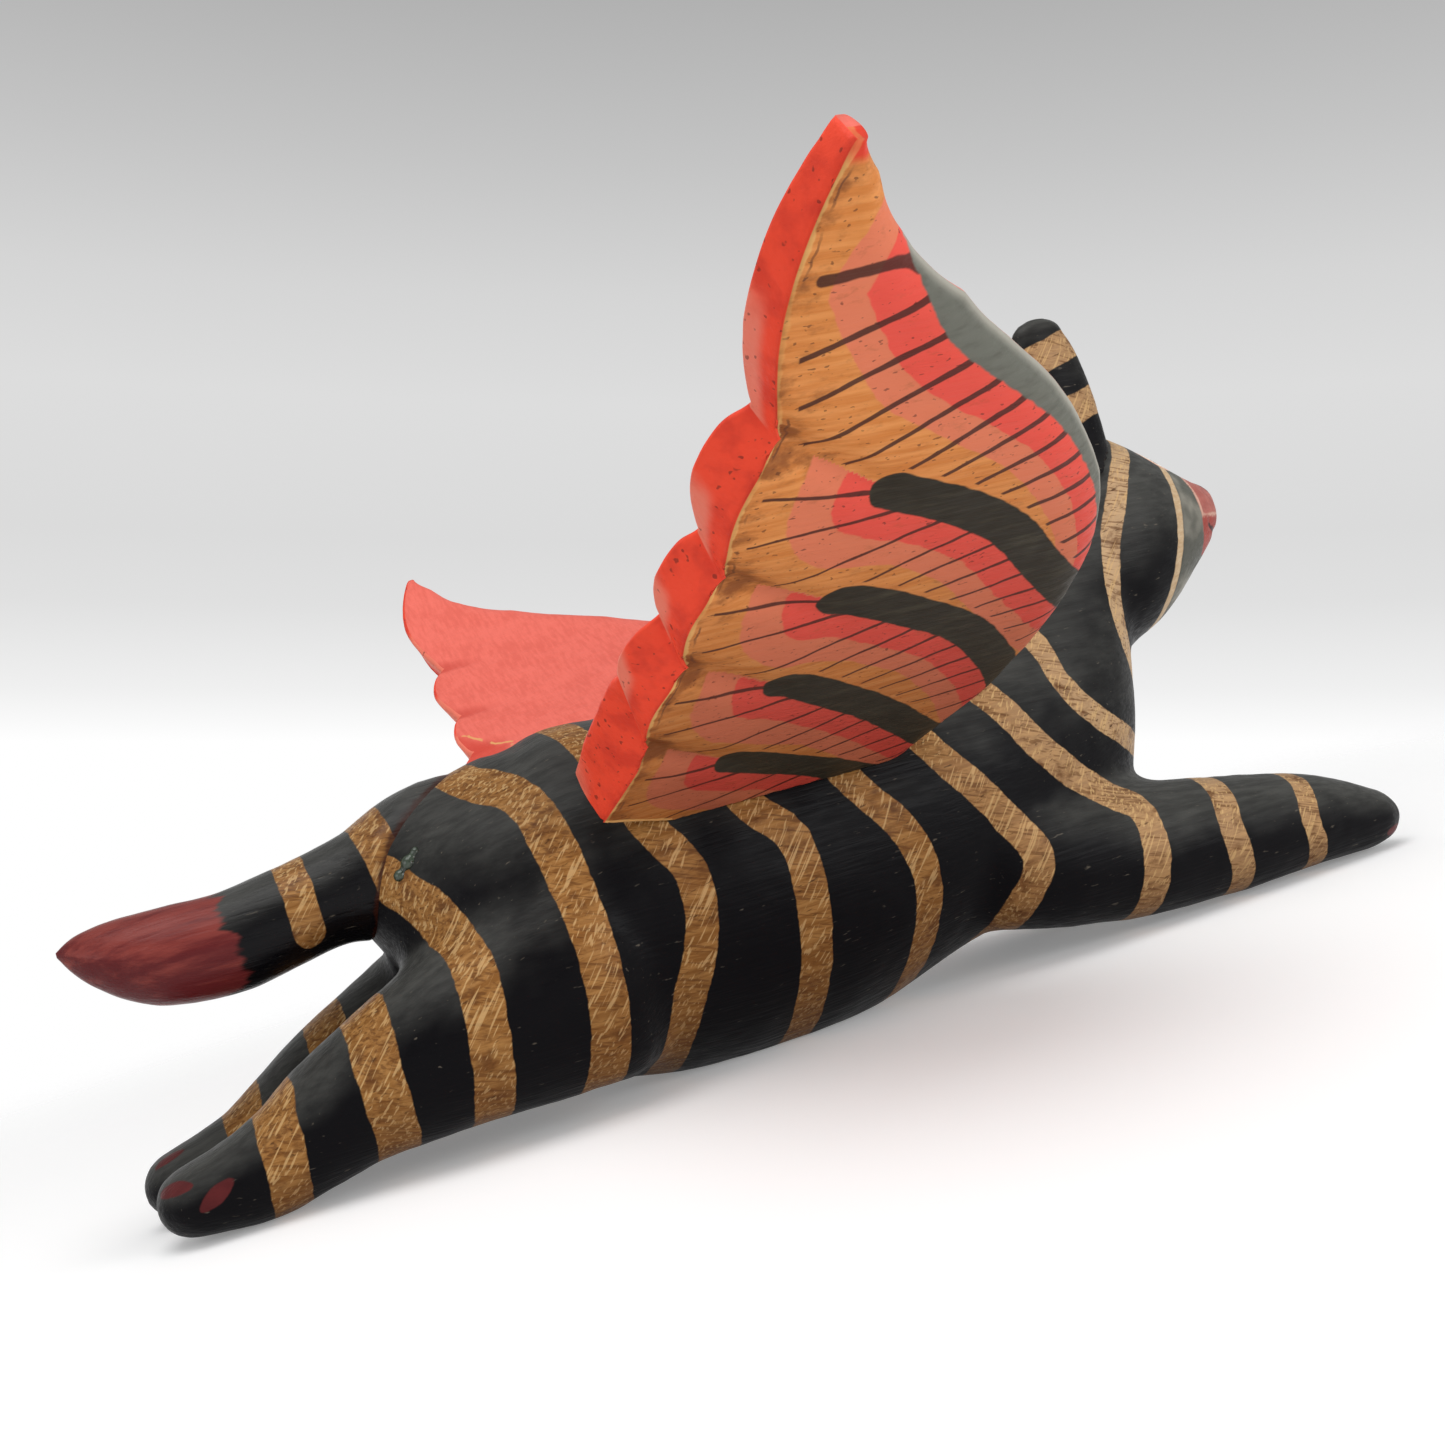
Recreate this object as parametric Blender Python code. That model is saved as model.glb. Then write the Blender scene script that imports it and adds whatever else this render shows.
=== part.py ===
"""A carved and painted wooden flying animal.

The body, head and legs are carved from one block. The tail, the ears and the two wings are carved
apart and set on round wooden pegs; the wings are only pushed in, so they pull off along their pegs.
Lengths are in metres and angles in degrees. +X points to the nose, +Y to the animal's left, +Z up.
"""

import math
from collections import namedtuple

import bmesh
import bpy
from mathutils import Matrix, Vector

# One cross-section of a carved limb: its centre, half its width, and its reach above and below
Section = namedtuple("Section", "x y z half_width rise drop")

# Gap left between any two pieces, filled by glue or by the push fit
CLEARANCE = 0.0003

# How far the main limbs reach: the last sections of the nose, hind feet, forepaws, tail and ears;
# the sections near an end keep their distance from it
NOSE_REACH = 0.1213
TOE_REACH = 0.0985
PAW_REACH = 0.1305
TAIL_REACH = 0.1040
EAR_REACH = 0.1132

# Torso and neck, from the rump to the top of the neck
TORSO = (
    Section(x=-0.055, y=0, z=0.0410, half_width=0.0145, rise=0.0130, drop=0.0128),
    Section(x=-0.049, y=0, z=0.0400, half_width=0.0205, rise=0.0186, drop=0.0215),
    Section(x=-0.034, y=0, z=0.0345, half_width=0.0275, rise=0.0285, drop=0.0290),
    Section(x=-0.012, y=0, z=0.0320, half_width=0.0295, rise=0.0315, drop=0.0330),
    Section(x=0.014, y=0, z=0.0320, half_width=0.0290, rise=0.0315, drop=0.0335),
    Section(x=0.036, y=0, z=0.0345, half_width=0.0275, rise=0.0300, drop=0.0300),
    Section(x=0.054, y=0, z=0.0405, half_width=0.0250, rise=0.0275, drop=0.0315),
    Section(x=0.068, y=0, z=0.0495, half_width=0.0215, rise=0.0235, drop=0.0297),
    Section(x=0.079, y=0, z=0.0615, half_width=0.0180, rise=0.0195, drop=0.0184),
    Section(x=0.086, y=0, z=0.0735, half_width=0.0160, rise=0.0160, drop=0.0160),
)
RUMP_DOME = 0.006
NECK_DOME = 0.008

# Head, from the back of the skull to the nose
HEAD = (
    Section(x=0.083, y=0, z=0.0735, half_width=0.0135, rise=0.0170, drop=0.0160),
    Section(x=0.092, y=0, z=0.0725, half_width=0.0170, rise=0.0254, drop=0.0215),
    Section(x=0.102, y=0, z=0.0735, half_width=0.0160, rise=0.0219, drop=0.0192),
    Section(x=0.1105, y=0, z=0.0745, half_width=0.0130, rise=0.0142, drop=0.0148),
    Section(x=0.1175, y=0, z=0.0748, half_width=0.0098, rise=0.0081, drop=0.0106),
    Section(x=NOSE_REACH, y=0, z=0.0748, half_width=0.0074, rise=0.0058, drop=0.0074),
)
SKULL_DOME = 0.006
NOSE_DOME = 0.0035

# Hind leg, from the thigh to the toes; the left one is carved a little longer than the right one
HIND_LEG = (
    Section(x=-0.032, y=0.0170, z=0.0245, half_width=0.0145, rise=0.0180, drop=0.0212),
    Section(x=-0.056, y=0.0150, z=0.0190, half_width=0.0140, rise=0.0136, drop=0.0150),
    Section(x=0.0255 - TOE_REACH, y=0.0122, z=0.0145, half_width=0.0113, rise=0.0098, drop=0.0115),
    Section(x=0.0115 - TOE_REACH, y=0.0104, z=0.0082, half_width=0.0096, rise=0.0074, drop=0.0086),
    Section(x=-TOE_REACH, y=0.0095, z=0.0066, half_width=0.0085, rise=0.0058, drop=0.0064),
)
THIGH_DOME = 0.010
TOE_DOME = 0.0066
LEFT_TOE_EXTRA = 0.0015

# Foreleg, from the shoulder to the paw; the left one is carved a little lower than the right one
FORELEG = (
    Section(x=0.048, y=0.0150, z=0.0210, half_width=0.0115, rise=0.0140, drop=0.0140),
    Section(x=0.070, y=0.0150, z=0.0150, half_width=0.0120, rise=0.0140, drop=0.0127),
    Section(x=PAW_REACH - 0.0355, y=0.0145, z=0.0120, half_width=0.0115, rise=0.0121, drop=0.0116),
    Section(x=PAW_REACH - 0.0135, y=0.0140, z=0.0098, half_width=0.0105, rise=0.0096, drop=0.0096),
    Section(x=PAW_REACH, y=0.0140, z=0.0069, half_width=0.0086, rise=0.0064, drop=0.0071),
)
SHOULDER_DOME = 0.006
PAW_DOME = 0.0085
LEFT_PAW_DROP = 0.002

# Tail, from its root inside the rump to its tip
TAIL = (
    Section(x=-0.036, y=0, z=0.0492, half_width=0.0080, rise=0.0090, drop=0.0080),
    Section(x=-0.050, y=0, z=0.0491, half_width=0.0083, rise=0.0094, drop=0.0084),
    Section(x=-0.063, y=0, z=0.0466, half_width=0.0082, rise=0.0082, drop=0.0083),
    Section(x=0.0230 - TAIL_REACH, y=0, z=0.0430, half_width=0.0084, rise=0.0083, drop=0.0084),
    Section(x=0.0090 - TAIL_REACH, y=0, z=0.0434, half_width=0.0078, rise=0.0077, drop=0.0080),
    Section(x=-TAIL_REACH, y=0, z=0.0466, half_width=0.0042, rise=0.0042, drop=0.0050),
)
TAIL_TIP_DOME = 0.0055

# Ear, from its foot inside the head to its rounded top
EAR = (
    Section(x=0.0880, y=0.0110, z=0.0840, half_width=0.0040, rise=0.0090, drop=0.0095),
    Section(x=0.0874, y=0.0120, z=EAR_REACH - 0.0132, half_width=0.0040, rise=0.0083, drop=0.0092),
    Section(x=0.0866, y=0.0128, z=EAR_REACH - 0.0040, half_width=0.0034, rise=0.0070, drop=0.0078),
    Section(x=0.0864, y=0.0130, z=EAR_REACH, half_width=0.0028, rise=0.0054, drop=0.0060),
)
EAR_FOOT_DOME = 0.002
EAR_TOP_DOME = 0.0036

# Wing: where its middle surface leaves the flank, and its size
WING_ROOT_Y = 0.0250
WING_ROOT_Z = 0.0480
WING_SPAN = 0.130
WING_SUNK = 0.012
WING_ROOT_THICKNESS = 0.0100
WING_TIP_THICKNESS = 0.0045
WING_CORNER = 0.0009
LEADING_ROUND = 0.0090

# Near the tip, the most of the wing's breadth that the rounded front and each rear corner may take
ROUND_SHARE = 0.4
CORNER_SHARE = 0.2

# How each wing was fitted: its shift forward, its slope at root and tip, and how far its front is tipped up
WingPose = namedtuple("WingPose", "forward root_rise tip_rise pitch")
RIGHT_WING = WingPose(forward=0.0, root_rise=21.0, tip_rise=35.0, pitch=0.0)
LEFT_WING = WingPose(forward=0.0046, root_rise=12.0, tip_rise=50.0, pitch=10.0)

# Leading edge from root to tip, as distance along the wing and forward position
LEADING_EDGE = (
    (-WING_SUNK, 0.030), (0.004, 0.0345), (0.016, 0.0410), (0.035, 0.0450), (0.054, 0.0440),
    (0.072, 0.0370), (0.090, 0.0228), (0.107, 0.0042), (0.117, -0.0069),
    (0.125, -0.0117), (WING_SPAN, -0.0150),
)

# Rear edges of the wing's upper face and underside, from root to tip: the notches between the feathers,
# how far each feather swells, and how its fullest place leans towards the root
Scallops = namedtuple("Scallops", "notches swells leans")
UPPER_REAR = Scallops(
    notches=((-WING_SUNK, -0.0225), (0.041, -0.0278), (0.056, -0.0247), (0.0725, -0.0222), (0.094, -0.0196),
             (WING_SPAN, -0.0168)),
    swells=(0.0046, 0.0025, 0.0026, 0.0038, 0.0046),
    leans=(0.66, 0.90, 0.95, 1.15, 1.10),
)
UNDER_REAR = Scallops(
    notches=((-WING_SUNK, -0.0306), (0.0286, -0.0239), (0.0486, -0.0216), (0.0675, -0.0198), (0.0912, -0.0172),
             (WING_SPAN, -0.0166)),
    swells=(0.0004, 0.0028, 0.0030, 0.0026, 0.0040),
    leans=(1.0, 1.0, 1.0, 1.0, 1.0),
)
FEATHER_FULLNESS = 0.8

# Line along which the rear corner of the wing's root is cut off: forward position and distance of two points
ROOT_CORNER = ((-0.0145, 0.0008), (-0.0280, 0.0080))
CORNER_REACH = 0.012

# Shallow valleys carved into the underside of the wing, from each notch forward and inward
VALLEY_DEPTH = 0.0019
VALLEY_HALF_WIDTH = 0.0032
VALLEY_LENGTH = 0.024
VALLEY_SWEEP = 0.68

# Pegs
WING_PEG_DIAMETER = 0.005
WING_PEG_LENGTH = 0.026
WING_PEG_X = {"front": 0.024, "rear": -0.010}
TAIL_DOWEL_DIAMETER = 0.005
TAIL_DOWEL_LENGTH = 0.026
TAIL_DOWEL_X = -0.0555
EAR_PEG_DIAMETER = 0.003
EAR_PEG_LENGTH = 0.014
PEG_CHAMFER = 0.0005

# Fineness of the solids
TORSO_SIDES = 32
LIMB_SIDES = 20
TAIL_SIDES = 18
PEG_SIDES = 16
STEPS_PER_SECTION = 3
DOME_RINGS = 3
DOME_CAP = 0.5
WING_STEPS_PER_FEATHER = 6
WING_STEP = 0.005
CHORD_FRACTIONS = (0.0, 0.18, 0.36, 0.54, 0.72)
NOSE_STEPS = 5
FUSE_VOXEL = 0.0022
EASE_STEPS = 6
EASE_FACTOR = 0.5
BODY_KEEP = 0.18

# How far the block that planes the underside reaches past the figure
FLOOR_MARGIN = 0.02

# Plain colours of the pieces: linear red, green, blue, then roughness
FINISHES = {
    "black_paint": ((0.020, 0.020, 0.022), 0.45),
    "maroon_paint": ((0.140, 0.030, 0.030), 0.45),
    "coral_paint": ((0.760, 0.130, 0.100), 0.55),
    "bare_wood": ((0.400, 0.240, 0.110), 0.65),
}


def clear_scene():
    """Remove every object, so that the model starts from nothing."""
    for old in list(bpy.data.objects):
        bpy.data.objects.remove(old, do_unlink=True)


def make_material(name, finish):
    """Return a Principled material in one of the plain finishes."""
    colour, roughness = FINISHES[finish]
    material = bpy.data.materials.new(name)
    material.use_nodes = True
    shader = material.node_tree.nodes["Principled BSDF"]
    shader.inputs["Base Color"].default_value = (*colour, 1.0)
    shader.inputs["Roughness"].default_value = roughness
    shader.inputs["Metallic"].default_value = 0.0
    return material


def make_object(name, mesh, finish=None):
    """Link a mesh as a named object; without a finish it is a hidden cutter."""
    mesh.name = name
    mesh.shade_smooth()
    item = bpy.data.objects.new(name, mesh)
    bpy.context.collection.objects.link(item)
    if finish:
        mesh.materials.append(make_material(name, finish))
    else:
        item.hide_render = True
        item.display_type = 'WIRE'
    return item


def finish_mesh(shape, name):
    """Turn a bmesh into a mesh with its faces pointing out."""
    bmesh.ops.recalc_face_normals(shape, faces=shape.faces)
    mesh = bpy.data.meshes.new(name)
    shape.to_mesh(mesh)
    shape.free()
    return mesh


def evaluated_copy(item, name):
    """Return a new mesh of the object with its modifiers worked out, in world space."""
    graph = bpy.context.evaluated_depsgraph_get()
    mesh = bpy.data.meshes.new_from_object(item.evaluated_get(graph), depsgraph=graph)
    mesh.transform(item.matrix_world)
    mesh.name = name
    return mesh


def cut_with(item, cutter):
    """Subtract a cutter from an object."""
    cut = item.modifiers.new(cutter.name, 'BOOLEAN')
    cut.operation = 'DIFFERENCE'
    cut.solver = 'EXACT'
    cut.object = cutter


def spline(points, t):
    """Read a smooth curve through the points at t, where each point is one unit on from the last."""
    last = len(points) - 1
    index = min(int(t), last - 1)
    part = t - index
    here = points[index]
    there = points[index + 1]
    before = points[max(index - 1, 0)]
    after = points[min(index + 2, last)]
    values = []
    for a, b, c, d in zip(before, here, there, after):
        leaving = (c - a) / 2
        arriving = (d - b) / 2
        cubed = (2 * b - 2 * c + leaving + arriving) * part ** 3
        squared = (3 * c - 3 * b - 2 * leaving - arriving) * part ** 2
        values.append(b + leaving * part + squared + cubed)
    return values


def smooth_sections(keys):
    """Fill in the sections between the key sections of a limb."""
    count = (len(keys) - 1) * STEPS_PER_SECTION
    return [Section(*spline(keys, i / STEPS_PER_SECTION)) for i in range(count + 1)]


def centre_of(section):
    return Vector((section.x, section.y, section.z))


def heading(sections, index):
    """Return the direction of a limb's centre line at one section."""
    first = centre_of(sections[max(index - 1, 0)])
    last = centre_of(sections[min(index + 1, len(sections) - 1)])
    return (last - first).normalized()


def ring_points(section, forward, sides, shrink=1.0, shift=0.0):
    """Return the outline of one section, square to the centre line, shrunk and shifted for a dome."""
    side = Vector((0, 1, 0))
    side = (side - forward * side.dot(forward)).normalized()
    over = forward.cross(side)
    if over.z < 0:
        over.negate()
    centre = centre_of(section) + forward * shift
    points = []
    for i in range(sides):
        turn = 2 * math.pi * i / sides
        reach = section.rise if math.sin(turn) > 0 else section.drop
        across = side * (section.half_width * math.cos(turn))
        points.append(centre + (across + over * (reach * math.sin(turn))) * shrink)
    return points


def limb_rings(keys, sides, start_dome, end_dome):
    """Return the rings of a limb from its start to its end, with a dome of rings at each end."""
    sections = smooth_sections(keys)
    rings = []
    quarter = math.pi / 2
    for i in range(DOME_RINGS, 0, -1):
        turn = quarter * i / (DOME_RINGS + DOME_CAP)
        rings.append(ring_points(sections[0], heading(sections, 0), sides,
                                 math.cos(turn), -start_dome * math.sin(turn)))
    for i, section in enumerate(sections):
        rings.append(ring_points(section, heading(sections, i), sides))
    for i in range(1, DOME_RINGS + 1):
        turn = quarter * i / (DOME_RINGS + DOME_CAP)
        rings.append(ring_points(sections[-1], heading(sections, len(sections) - 1), sides,
                                 math.cos(turn), end_dome * math.sin(turn)))
    return rings


def add_rings(shape, rings):
    """Add a closed skin over a list of rings to a bmesh."""
    loops = [[shape.verts.new(point) for point in ring] for ring in rings]
    for near, far in zip(loops, loops[1:]):
        for i in range(len(near)):
            after = (i + 1) % len(near)
            shape.faces.new((near[i], near[after], far[after], far[i]))
    shape.faces.new(loops[0][::-1])
    shape.faces.new(loops[-1])


def on_side(keys, sign):
    """Place a limb's sections on the right side (-1) or on the left side (+1)."""
    return [section._replace(y=sign * section.y) for section in keys]


def shifted_end(keys, forward, lift):
    """Move a limb gradually, from nothing at its start to the whole shift at its end."""
    last = len(keys) - 1
    moved = []
    for i, section in enumerate(keys):
        moved.append(section._replace(x=section.x + forward * i / last, z=section.z + lift * i / last))
    return moved


def carved_limbs():
    """Return each limb of the block: its sections, its fineness, and the domes at its ends."""
    left_hind = shifted_end(on_side(HIND_LEG, 1), -LEFT_TOE_EXTRA, 0)
    left_fore = shifted_end(on_side(FORELEG, 1), 0, -LEFT_PAW_DROP)
    return (
        (TORSO, TORSO_SIDES, RUMP_DOME, NECK_DOME),
        (HEAD, LIMB_SIDES, SKULL_DOME, NOSE_DOME),
        (on_side(HIND_LEG, -1), LIMB_SIDES, THIGH_DOME, TOE_DOME),
        (left_hind, LIMB_SIDES, THIGH_DOME, TOE_DOME),
        (on_side(FORELEG, -1), LIMB_SIDES, SHOULDER_DOME, PAW_DOME),
        (left_fore, LIMB_SIDES, SHOULDER_DOME, PAW_DOME),
    )


def make_floor_cutter():
    """Make the block that planes the belly, the hind feet and the paws flat."""
    rear = TAIL[-1].x - FLOOR_MARGIN
    front = FORELEG[-1].x + PAW_DOME + FLOOR_MARGIN
    width = 2 * max(section.half_width for section in TORSO) + 2 * FLOOR_MARGIN
    shape = bmesh.new()
    bmesh.ops.create_cube(shape, size=1.0)
    size = Vector((front - rear, width, FLOOR_MARGIN))
    middle = Vector(((front + rear) / 2, 0, -FLOOR_MARGIN / 2))
    bmesh.ops.scale(shape, vec=size, verts=shape.verts)
    bmesh.ops.translate(shape, vec=middle, verts=shape.verts)
    return make_object("floor_cutter", finish_mesh(shape, "floor_cutter"))


def make_body():
    """Carve the block: fuse the limbs, ease the hollows between them and plane the underside."""
    shape = bmesh.new()
    for keys, sides, start_dome, end_dome in carved_limbs():
        add_rings(shape, limb_rings(keys, sides, start_dome, end_dome))
    blank = make_object("body_blank", finish_mesh(shape, "body_blank"))
    fuse = blank.modifiers.new("fuse", 'REMESH')
    fuse.mode = 'VOXEL'
    fuse.voxel_size = FUSE_VOXEL
    ease = blank.modifiers.new("ease", 'SMOOTH')
    ease.factor = EASE_FACTOR
    ease.iterations = EASE_STEPS
    thin = blank.modifiers.new("thin", 'DECIMATE')
    thin.ratio = BODY_KEEP
    body = make_object("body", evaluated_copy(blank, "body"), "black_paint")
    cut_with(body, make_floor_cutter())
    return body


def make_seat_cutter(body):
    """Copy the body and swell it by the clearance, to shape the pieces that sit on it."""
    mesh = evaluated_copy(body, "body_seat")
    mesh.materials.clear()
    normals = [Vector(normal.vector) for normal in mesh.vertex_normals]
    for vertex, normal in zip(mesh.vertices, normals):
        vertex.co += normal * CLEARANCE
    return make_object("body_seat", mesh)


def peg_mesh(name, middle, axis, diameter, length, chamfer):
    """Return a round peg along an axis, with its rims eased if it has a chamfer."""
    shape = bmesh.new()
    bmesh.ops.create_cone(shape, cap_ends=True, segments=PEG_SIDES,
                          radius1=diameter / 2, radius2=diameter / 2, depth=length)
    if chamfer:
        rims = [edge for edge in shape.edges if abs(edge.verts[0].co.z - edge.verts[1].co.z) < length / 2]
        bmesh.ops.bevel(shape, geom=rims, offset=chamfer, segments=1, affect='EDGES')
    turn = Vector((0, 0, 1)).rotation_difference(axis).to_matrix().to_4x4()
    bmesh.ops.transform(shape, matrix=Matrix.Translation(middle) @ turn, verts=shape.verts)
    return finish_mesh(shape, name)


def make_peg(name, middle, axis, diameter, length, holders):
    """Make a peg, and drill its hole into each piece that holds it."""
    peg = make_object(name, peg_mesh(name, middle, axis, diameter, length, PEG_CHAMFER), "bare_wood")
    drill = peg_mesh(name + "_drill", middle, axis, diameter + 2 * CLEARANCE, length + 2 * CLEARANCE, 0)
    cutter = make_object(name + "_drill", drill)
    for holder in holders:
        cut_with(holder, cutter)
    return peg


def set_origin(item, origin):
    """Move an object's own origin without moving its shape."""
    item.data.transform(Matrix.Translation(-origin))
    item.location = origin


def wing_path(distance, pose):
    """Return where the wing's middle surface is at a distance from the flank, and its slope there."""
    root = math.radians(pose.root_rise)
    bend = math.radians(pose.tip_rise - pose.root_rise) / WING_SPAN
    if distance < 0:
        place = Vector((WING_ROOT_Y + distance * math.cos(root), WING_ROOT_Z + distance * math.sin(root)))
        return place, root
    slope = root + bend * distance
    half = bend * distance / 2
    chord = distance * (math.sin(half) / half if half else 1.0)
    place = Vector((WING_ROOT_Y + chord * math.cos(root + half), WING_ROOT_Z + chord * math.sin(root + half)))
    return place, slope


def rear_edge(station, scallops):
    """Return the distance and the forward position of a scalloped rear edge at a station of the upper one."""
    for index, (swell, lean) in enumerate(zip(scallops.swells, scallops.leans)):
        first = UPPER_REAR.notches[index][0]
        last = UPPER_REAR.notches[index + 1][0]
        if station <= last:
            break
    part = min(max((station - first) / (last - first), 0.0), 1.0)
    start, start_x = scallops.notches[index]
    end, end_x = scallops.notches[index + 1]
    swollen = swell * abs(math.sin(math.pi * part ** lean)) ** FEATHER_FULLNESS
    return start + (end - start) * part, start_x + (end_x - start_x) * part - swollen


def leading_x(distance):
    """Return the forward position of the leading edge, on a smooth curve through its points."""
    last = len(LEADING_EDGE) - 1
    for index in range(last):
        if distance <= LEADING_EDGE[index + 1][0] or index == last - 1:
            start = LEADING_EDGE[index][0]
            end = LEADING_EDGE[index + 1][0]
            part = min(max((distance - start) / (end - start), 0.0), 1.0)
            return spline(LEADING_EDGE, index + part)[1]
    return LEADING_EDGE[-1][1]


def valley(distance, x):
    """Return how deep the underside is carved at a place on the wing."""
    depth = 0.0
    for start, start_x in UNDER_REAR.notches[1:-1]:
        inward = x - start_x
        off_line = distance - (start - VALLEY_SWEEP * inward)
        fade = max(0.0, 1.0 - inward / VALLEY_LENGTH)
        depth += VALLEY_DEPTH * fade * math.exp(-(off_line / VALLEY_HALF_WIDTH) ** 2)
    return depth


def half_thickness(distance):
    part = min(max(distance / WING_SPAN, 0.0), 1.0)
    return (WING_ROOT_THICKNESS + (WING_TIP_THICKNESS - WING_ROOT_THICKNESS) * part) / 2


def chord(distance, rear):
    """Return the front of the wing, its rounding there and the easing of its rear corner."""
    front = max(leading_x(distance), rear + 2 * WING_CORNER)
    rounding = min(LEADING_ROUND, ROUND_SHARE * (front - rear))
    corner = min(WING_CORNER, CORNER_SHARE * (front - rear))
    return front, rounding, corner


def underside_points(station):
    """Return the underside's points from the rear edge forward, as (forward position, distance, height)."""
    rear_distance, rear = rear_edge(station, UNDER_REAR)
    half = half_thickness(rear_distance)
    points = [(rear, rear_distance, chord(rear_distance, rear)[2] - half)]
    for fraction in CHORD_FRACTIONS:
        distance = station + (rear_distance - station) * (1 - fraction) ** 2
        front, rounding, corner = chord(distance, rear)
        x = rear + corner + (front - rounding - rear - corner) * fraction
        points.append((x, distance, valley(distance, x) - half_thickness(distance)))
    return points


def wing_outline(station):
    """Return the wing's section as (forward position, distance, height above the middle surface) points."""
    half = half_thickness(station)
    _, rear = rear_edge(station, UPPER_REAR)
    front, rounding, corner = chord(station, rear)
    points = underside_points(station)
    for i in range(NOSE_STEPS + 1):
        turn = math.pi * (i / NOSE_STEPS - 0.5)
        points.append((front - rounding + rounding * math.cos(turn), station, half * math.sin(turn)))
    flat = front - rounding - rear - corner
    points += [(rear + corner + flat * fraction, station, half) for fraction in reversed(CHORD_FRACTIONS)]
    points.append((rear, station, half - corner))
    return points


def wing_stations():
    """Return the distances along the wing's upper rear edge at which it has a section."""
    stations = []
    for (start, _), (end, _) in zip(UPPER_REAR.notches, UPPER_REAR.notches[1:]):
        steps = max(WING_STEPS_PER_FEATHER, round((end - start) / WING_STEP))
        stations += [start + (end - start) * i / steps for i in range(steps)]
    return stations + [WING_SPAN]


def wing_point(x, distance, height, sign, pose):
    """Place a point of the wing: along it, across it and above its middle surface."""
    place, slope = wing_path(distance, pose)
    over = height + x * math.tan(math.radians(pose.pitch))
    y = place.x - over * math.sin(slope)
    z = place.y + over * math.cos(slope)
    return Vector((x + pose.forward, sign * y, z))


def wing_mesh(name, sign, pose):
    """Return a wing from inside the flank to its tip, on the right (-1) or the left (+1)."""
    rings = []
    for station in wing_stations():
        rings.append([wing_point(*place, sign, pose) for place in wing_outline(station)])
    shape = bmesh.new()
    add_rings(shape, rings)
    return finish_mesh(shape, name)


def make_corner_cutter(side, sign, pose):
    """Make the block that cuts off the rear corner of a wing's root."""
    inner = Vector(ROOT_CORNER[0])
    along = Vector(ROOT_CORNER[1]) - inner
    across = Vector((-along.y, along.x))
    outline = (inner, inner + 2 * along, inner + 2 * along + across, inner + across)
    shape = bmesh.new()
    rings = []
    for height in (-CORNER_REACH, CORNER_REACH):
        rings.append([wing_point(x, distance, height, sign, pose) for x, distance in outline])
    add_rings(shape, rings)
    return make_object(side + "_corner_cutter", finish_mesh(shape, side + "_corner_cutter"))


def make_wing(side, sign, pose, body, seat):
    """Make one wing with its two pegs; all of it hangs on an empty at the wing's root."""
    root = wing_point(0, 0, 0, sign, pose)
    slope = math.radians(pose.root_rise)
    axis = Vector((0, sign * math.cos(slope), math.sin(slope)))
    wing = make_object(side + "_wing", wing_mesh(side + "_wing", sign, pose), "coral_paint")
    cut_with(wing, seat)
    cut_with(wing, make_corner_cutter(side, sign, pose))
    slide = bpy.data.objects.new(side + "_wing_slide", None)
    slide.location = root
    bpy.context.collection.objects.link(slide)
    pieces = [wing]
    for place, x in WING_PEG_X.items():
        middle = wing_point(x, 0, 0, sign, pose)
        name = f"{side}_wing_{place}_peg"
        pieces.append(make_peg(name, middle, axis, WING_PEG_DIAMETER, WING_PEG_LENGTH, (body, wing)))
    for piece in pieces:
        piece.data.transform(Matrix.Translation(-root))
        piece.parent = slide


def make_tail(body, seat):
    """Make the tail and the dowel that joins it to the rump."""
    shape = bmesh.new()
    add_rings(shape, limb_rings(TAIL, TAIL_SIDES, 0, TAIL_TIP_DOME))
    tail = make_object("tail", finish_mesh(shape, "tail"), "maroon_paint")
    cut_with(tail, seat)
    first = centre_of(TAIL[1])
    second = centre_of(TAIL[2])
    along = (second - first).normalized()
    middle = first + (second - first) * ((TAIL_DOWEL_X - first.x) / (second.x - first.x))
    dowel = make_peg("tail_dowel", middle, along, TAIL_DOWEL_DIAMETER, TAIL_DOWEL_LENGTH, (body, tail))
    set_origin(tail, middle)
    set_origin(dowel, middle)


def head_top(y):
    """Return the height of the head's surface beside the crown, where an ear stands."""
    crown = HEAD[1]
    return crown.z + crown.rise * math.sqrt(1 - (y / crown.half_width) ** 2)


def make_ear(side, sign, body, seat):
    """Make one ear and the peg that joins it to the head."""
    keys = on_side(EAR, sign)
    shape = bmesh.new()
    add_rings(shape, limb_rings(keys, LIMB_SIDES, EAR_FOOT_DOME, EAR_TOP_DOME))
    ear = make_object(side + "_ear", finish_mesh(shape, side + "_ear"), "black_paint")
    cut_with(ear, seat)
    foot = centre_of(keys[0])
    along = (centre_of(keys[1]) - foot).normalized()
    middle = foot + along * ((head_top(foot.y) - foot.z) / along.z)
    peg = make_peg(side + "_ear_peg", middle, along, EAR_PEG_DIAMETER, EAR_PEG_LENGTH, (body, ear))
    set_origin(ear, middle)
    set_origin(peg, middle)


def main():
    clear_scene()
    body = make_body()
    seat = make_seat_cutter(body)
    make_tail(body, seat)
    for side, sign in (("right", -1), ("left", 1)):
        make_ear(side, sign, body, seat)
    make_wing("right", -1, RIGHT_WING, body, seat)
    make_wing("left", 1, LEFT_WING, body, seat)


main()
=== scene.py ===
"""Looks of a carved and painted wooden flying animal.

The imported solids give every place. The body and ears are fine eased copies of their solids, the tail and
wings are drawn again in full detail, and the pegs keep their solids with a wood finish.
Lengths are in metres, and in millimetres where a comment says so. +X points to the nose, +Y to the
animal's left, +Z up.
"""

import math
from collections import namedtuple

import bmesh
import bpy
import numpy as np
from mathutils import Matrix, Vector, noise
from mathutils.bvhtree import BVHTree


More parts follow.
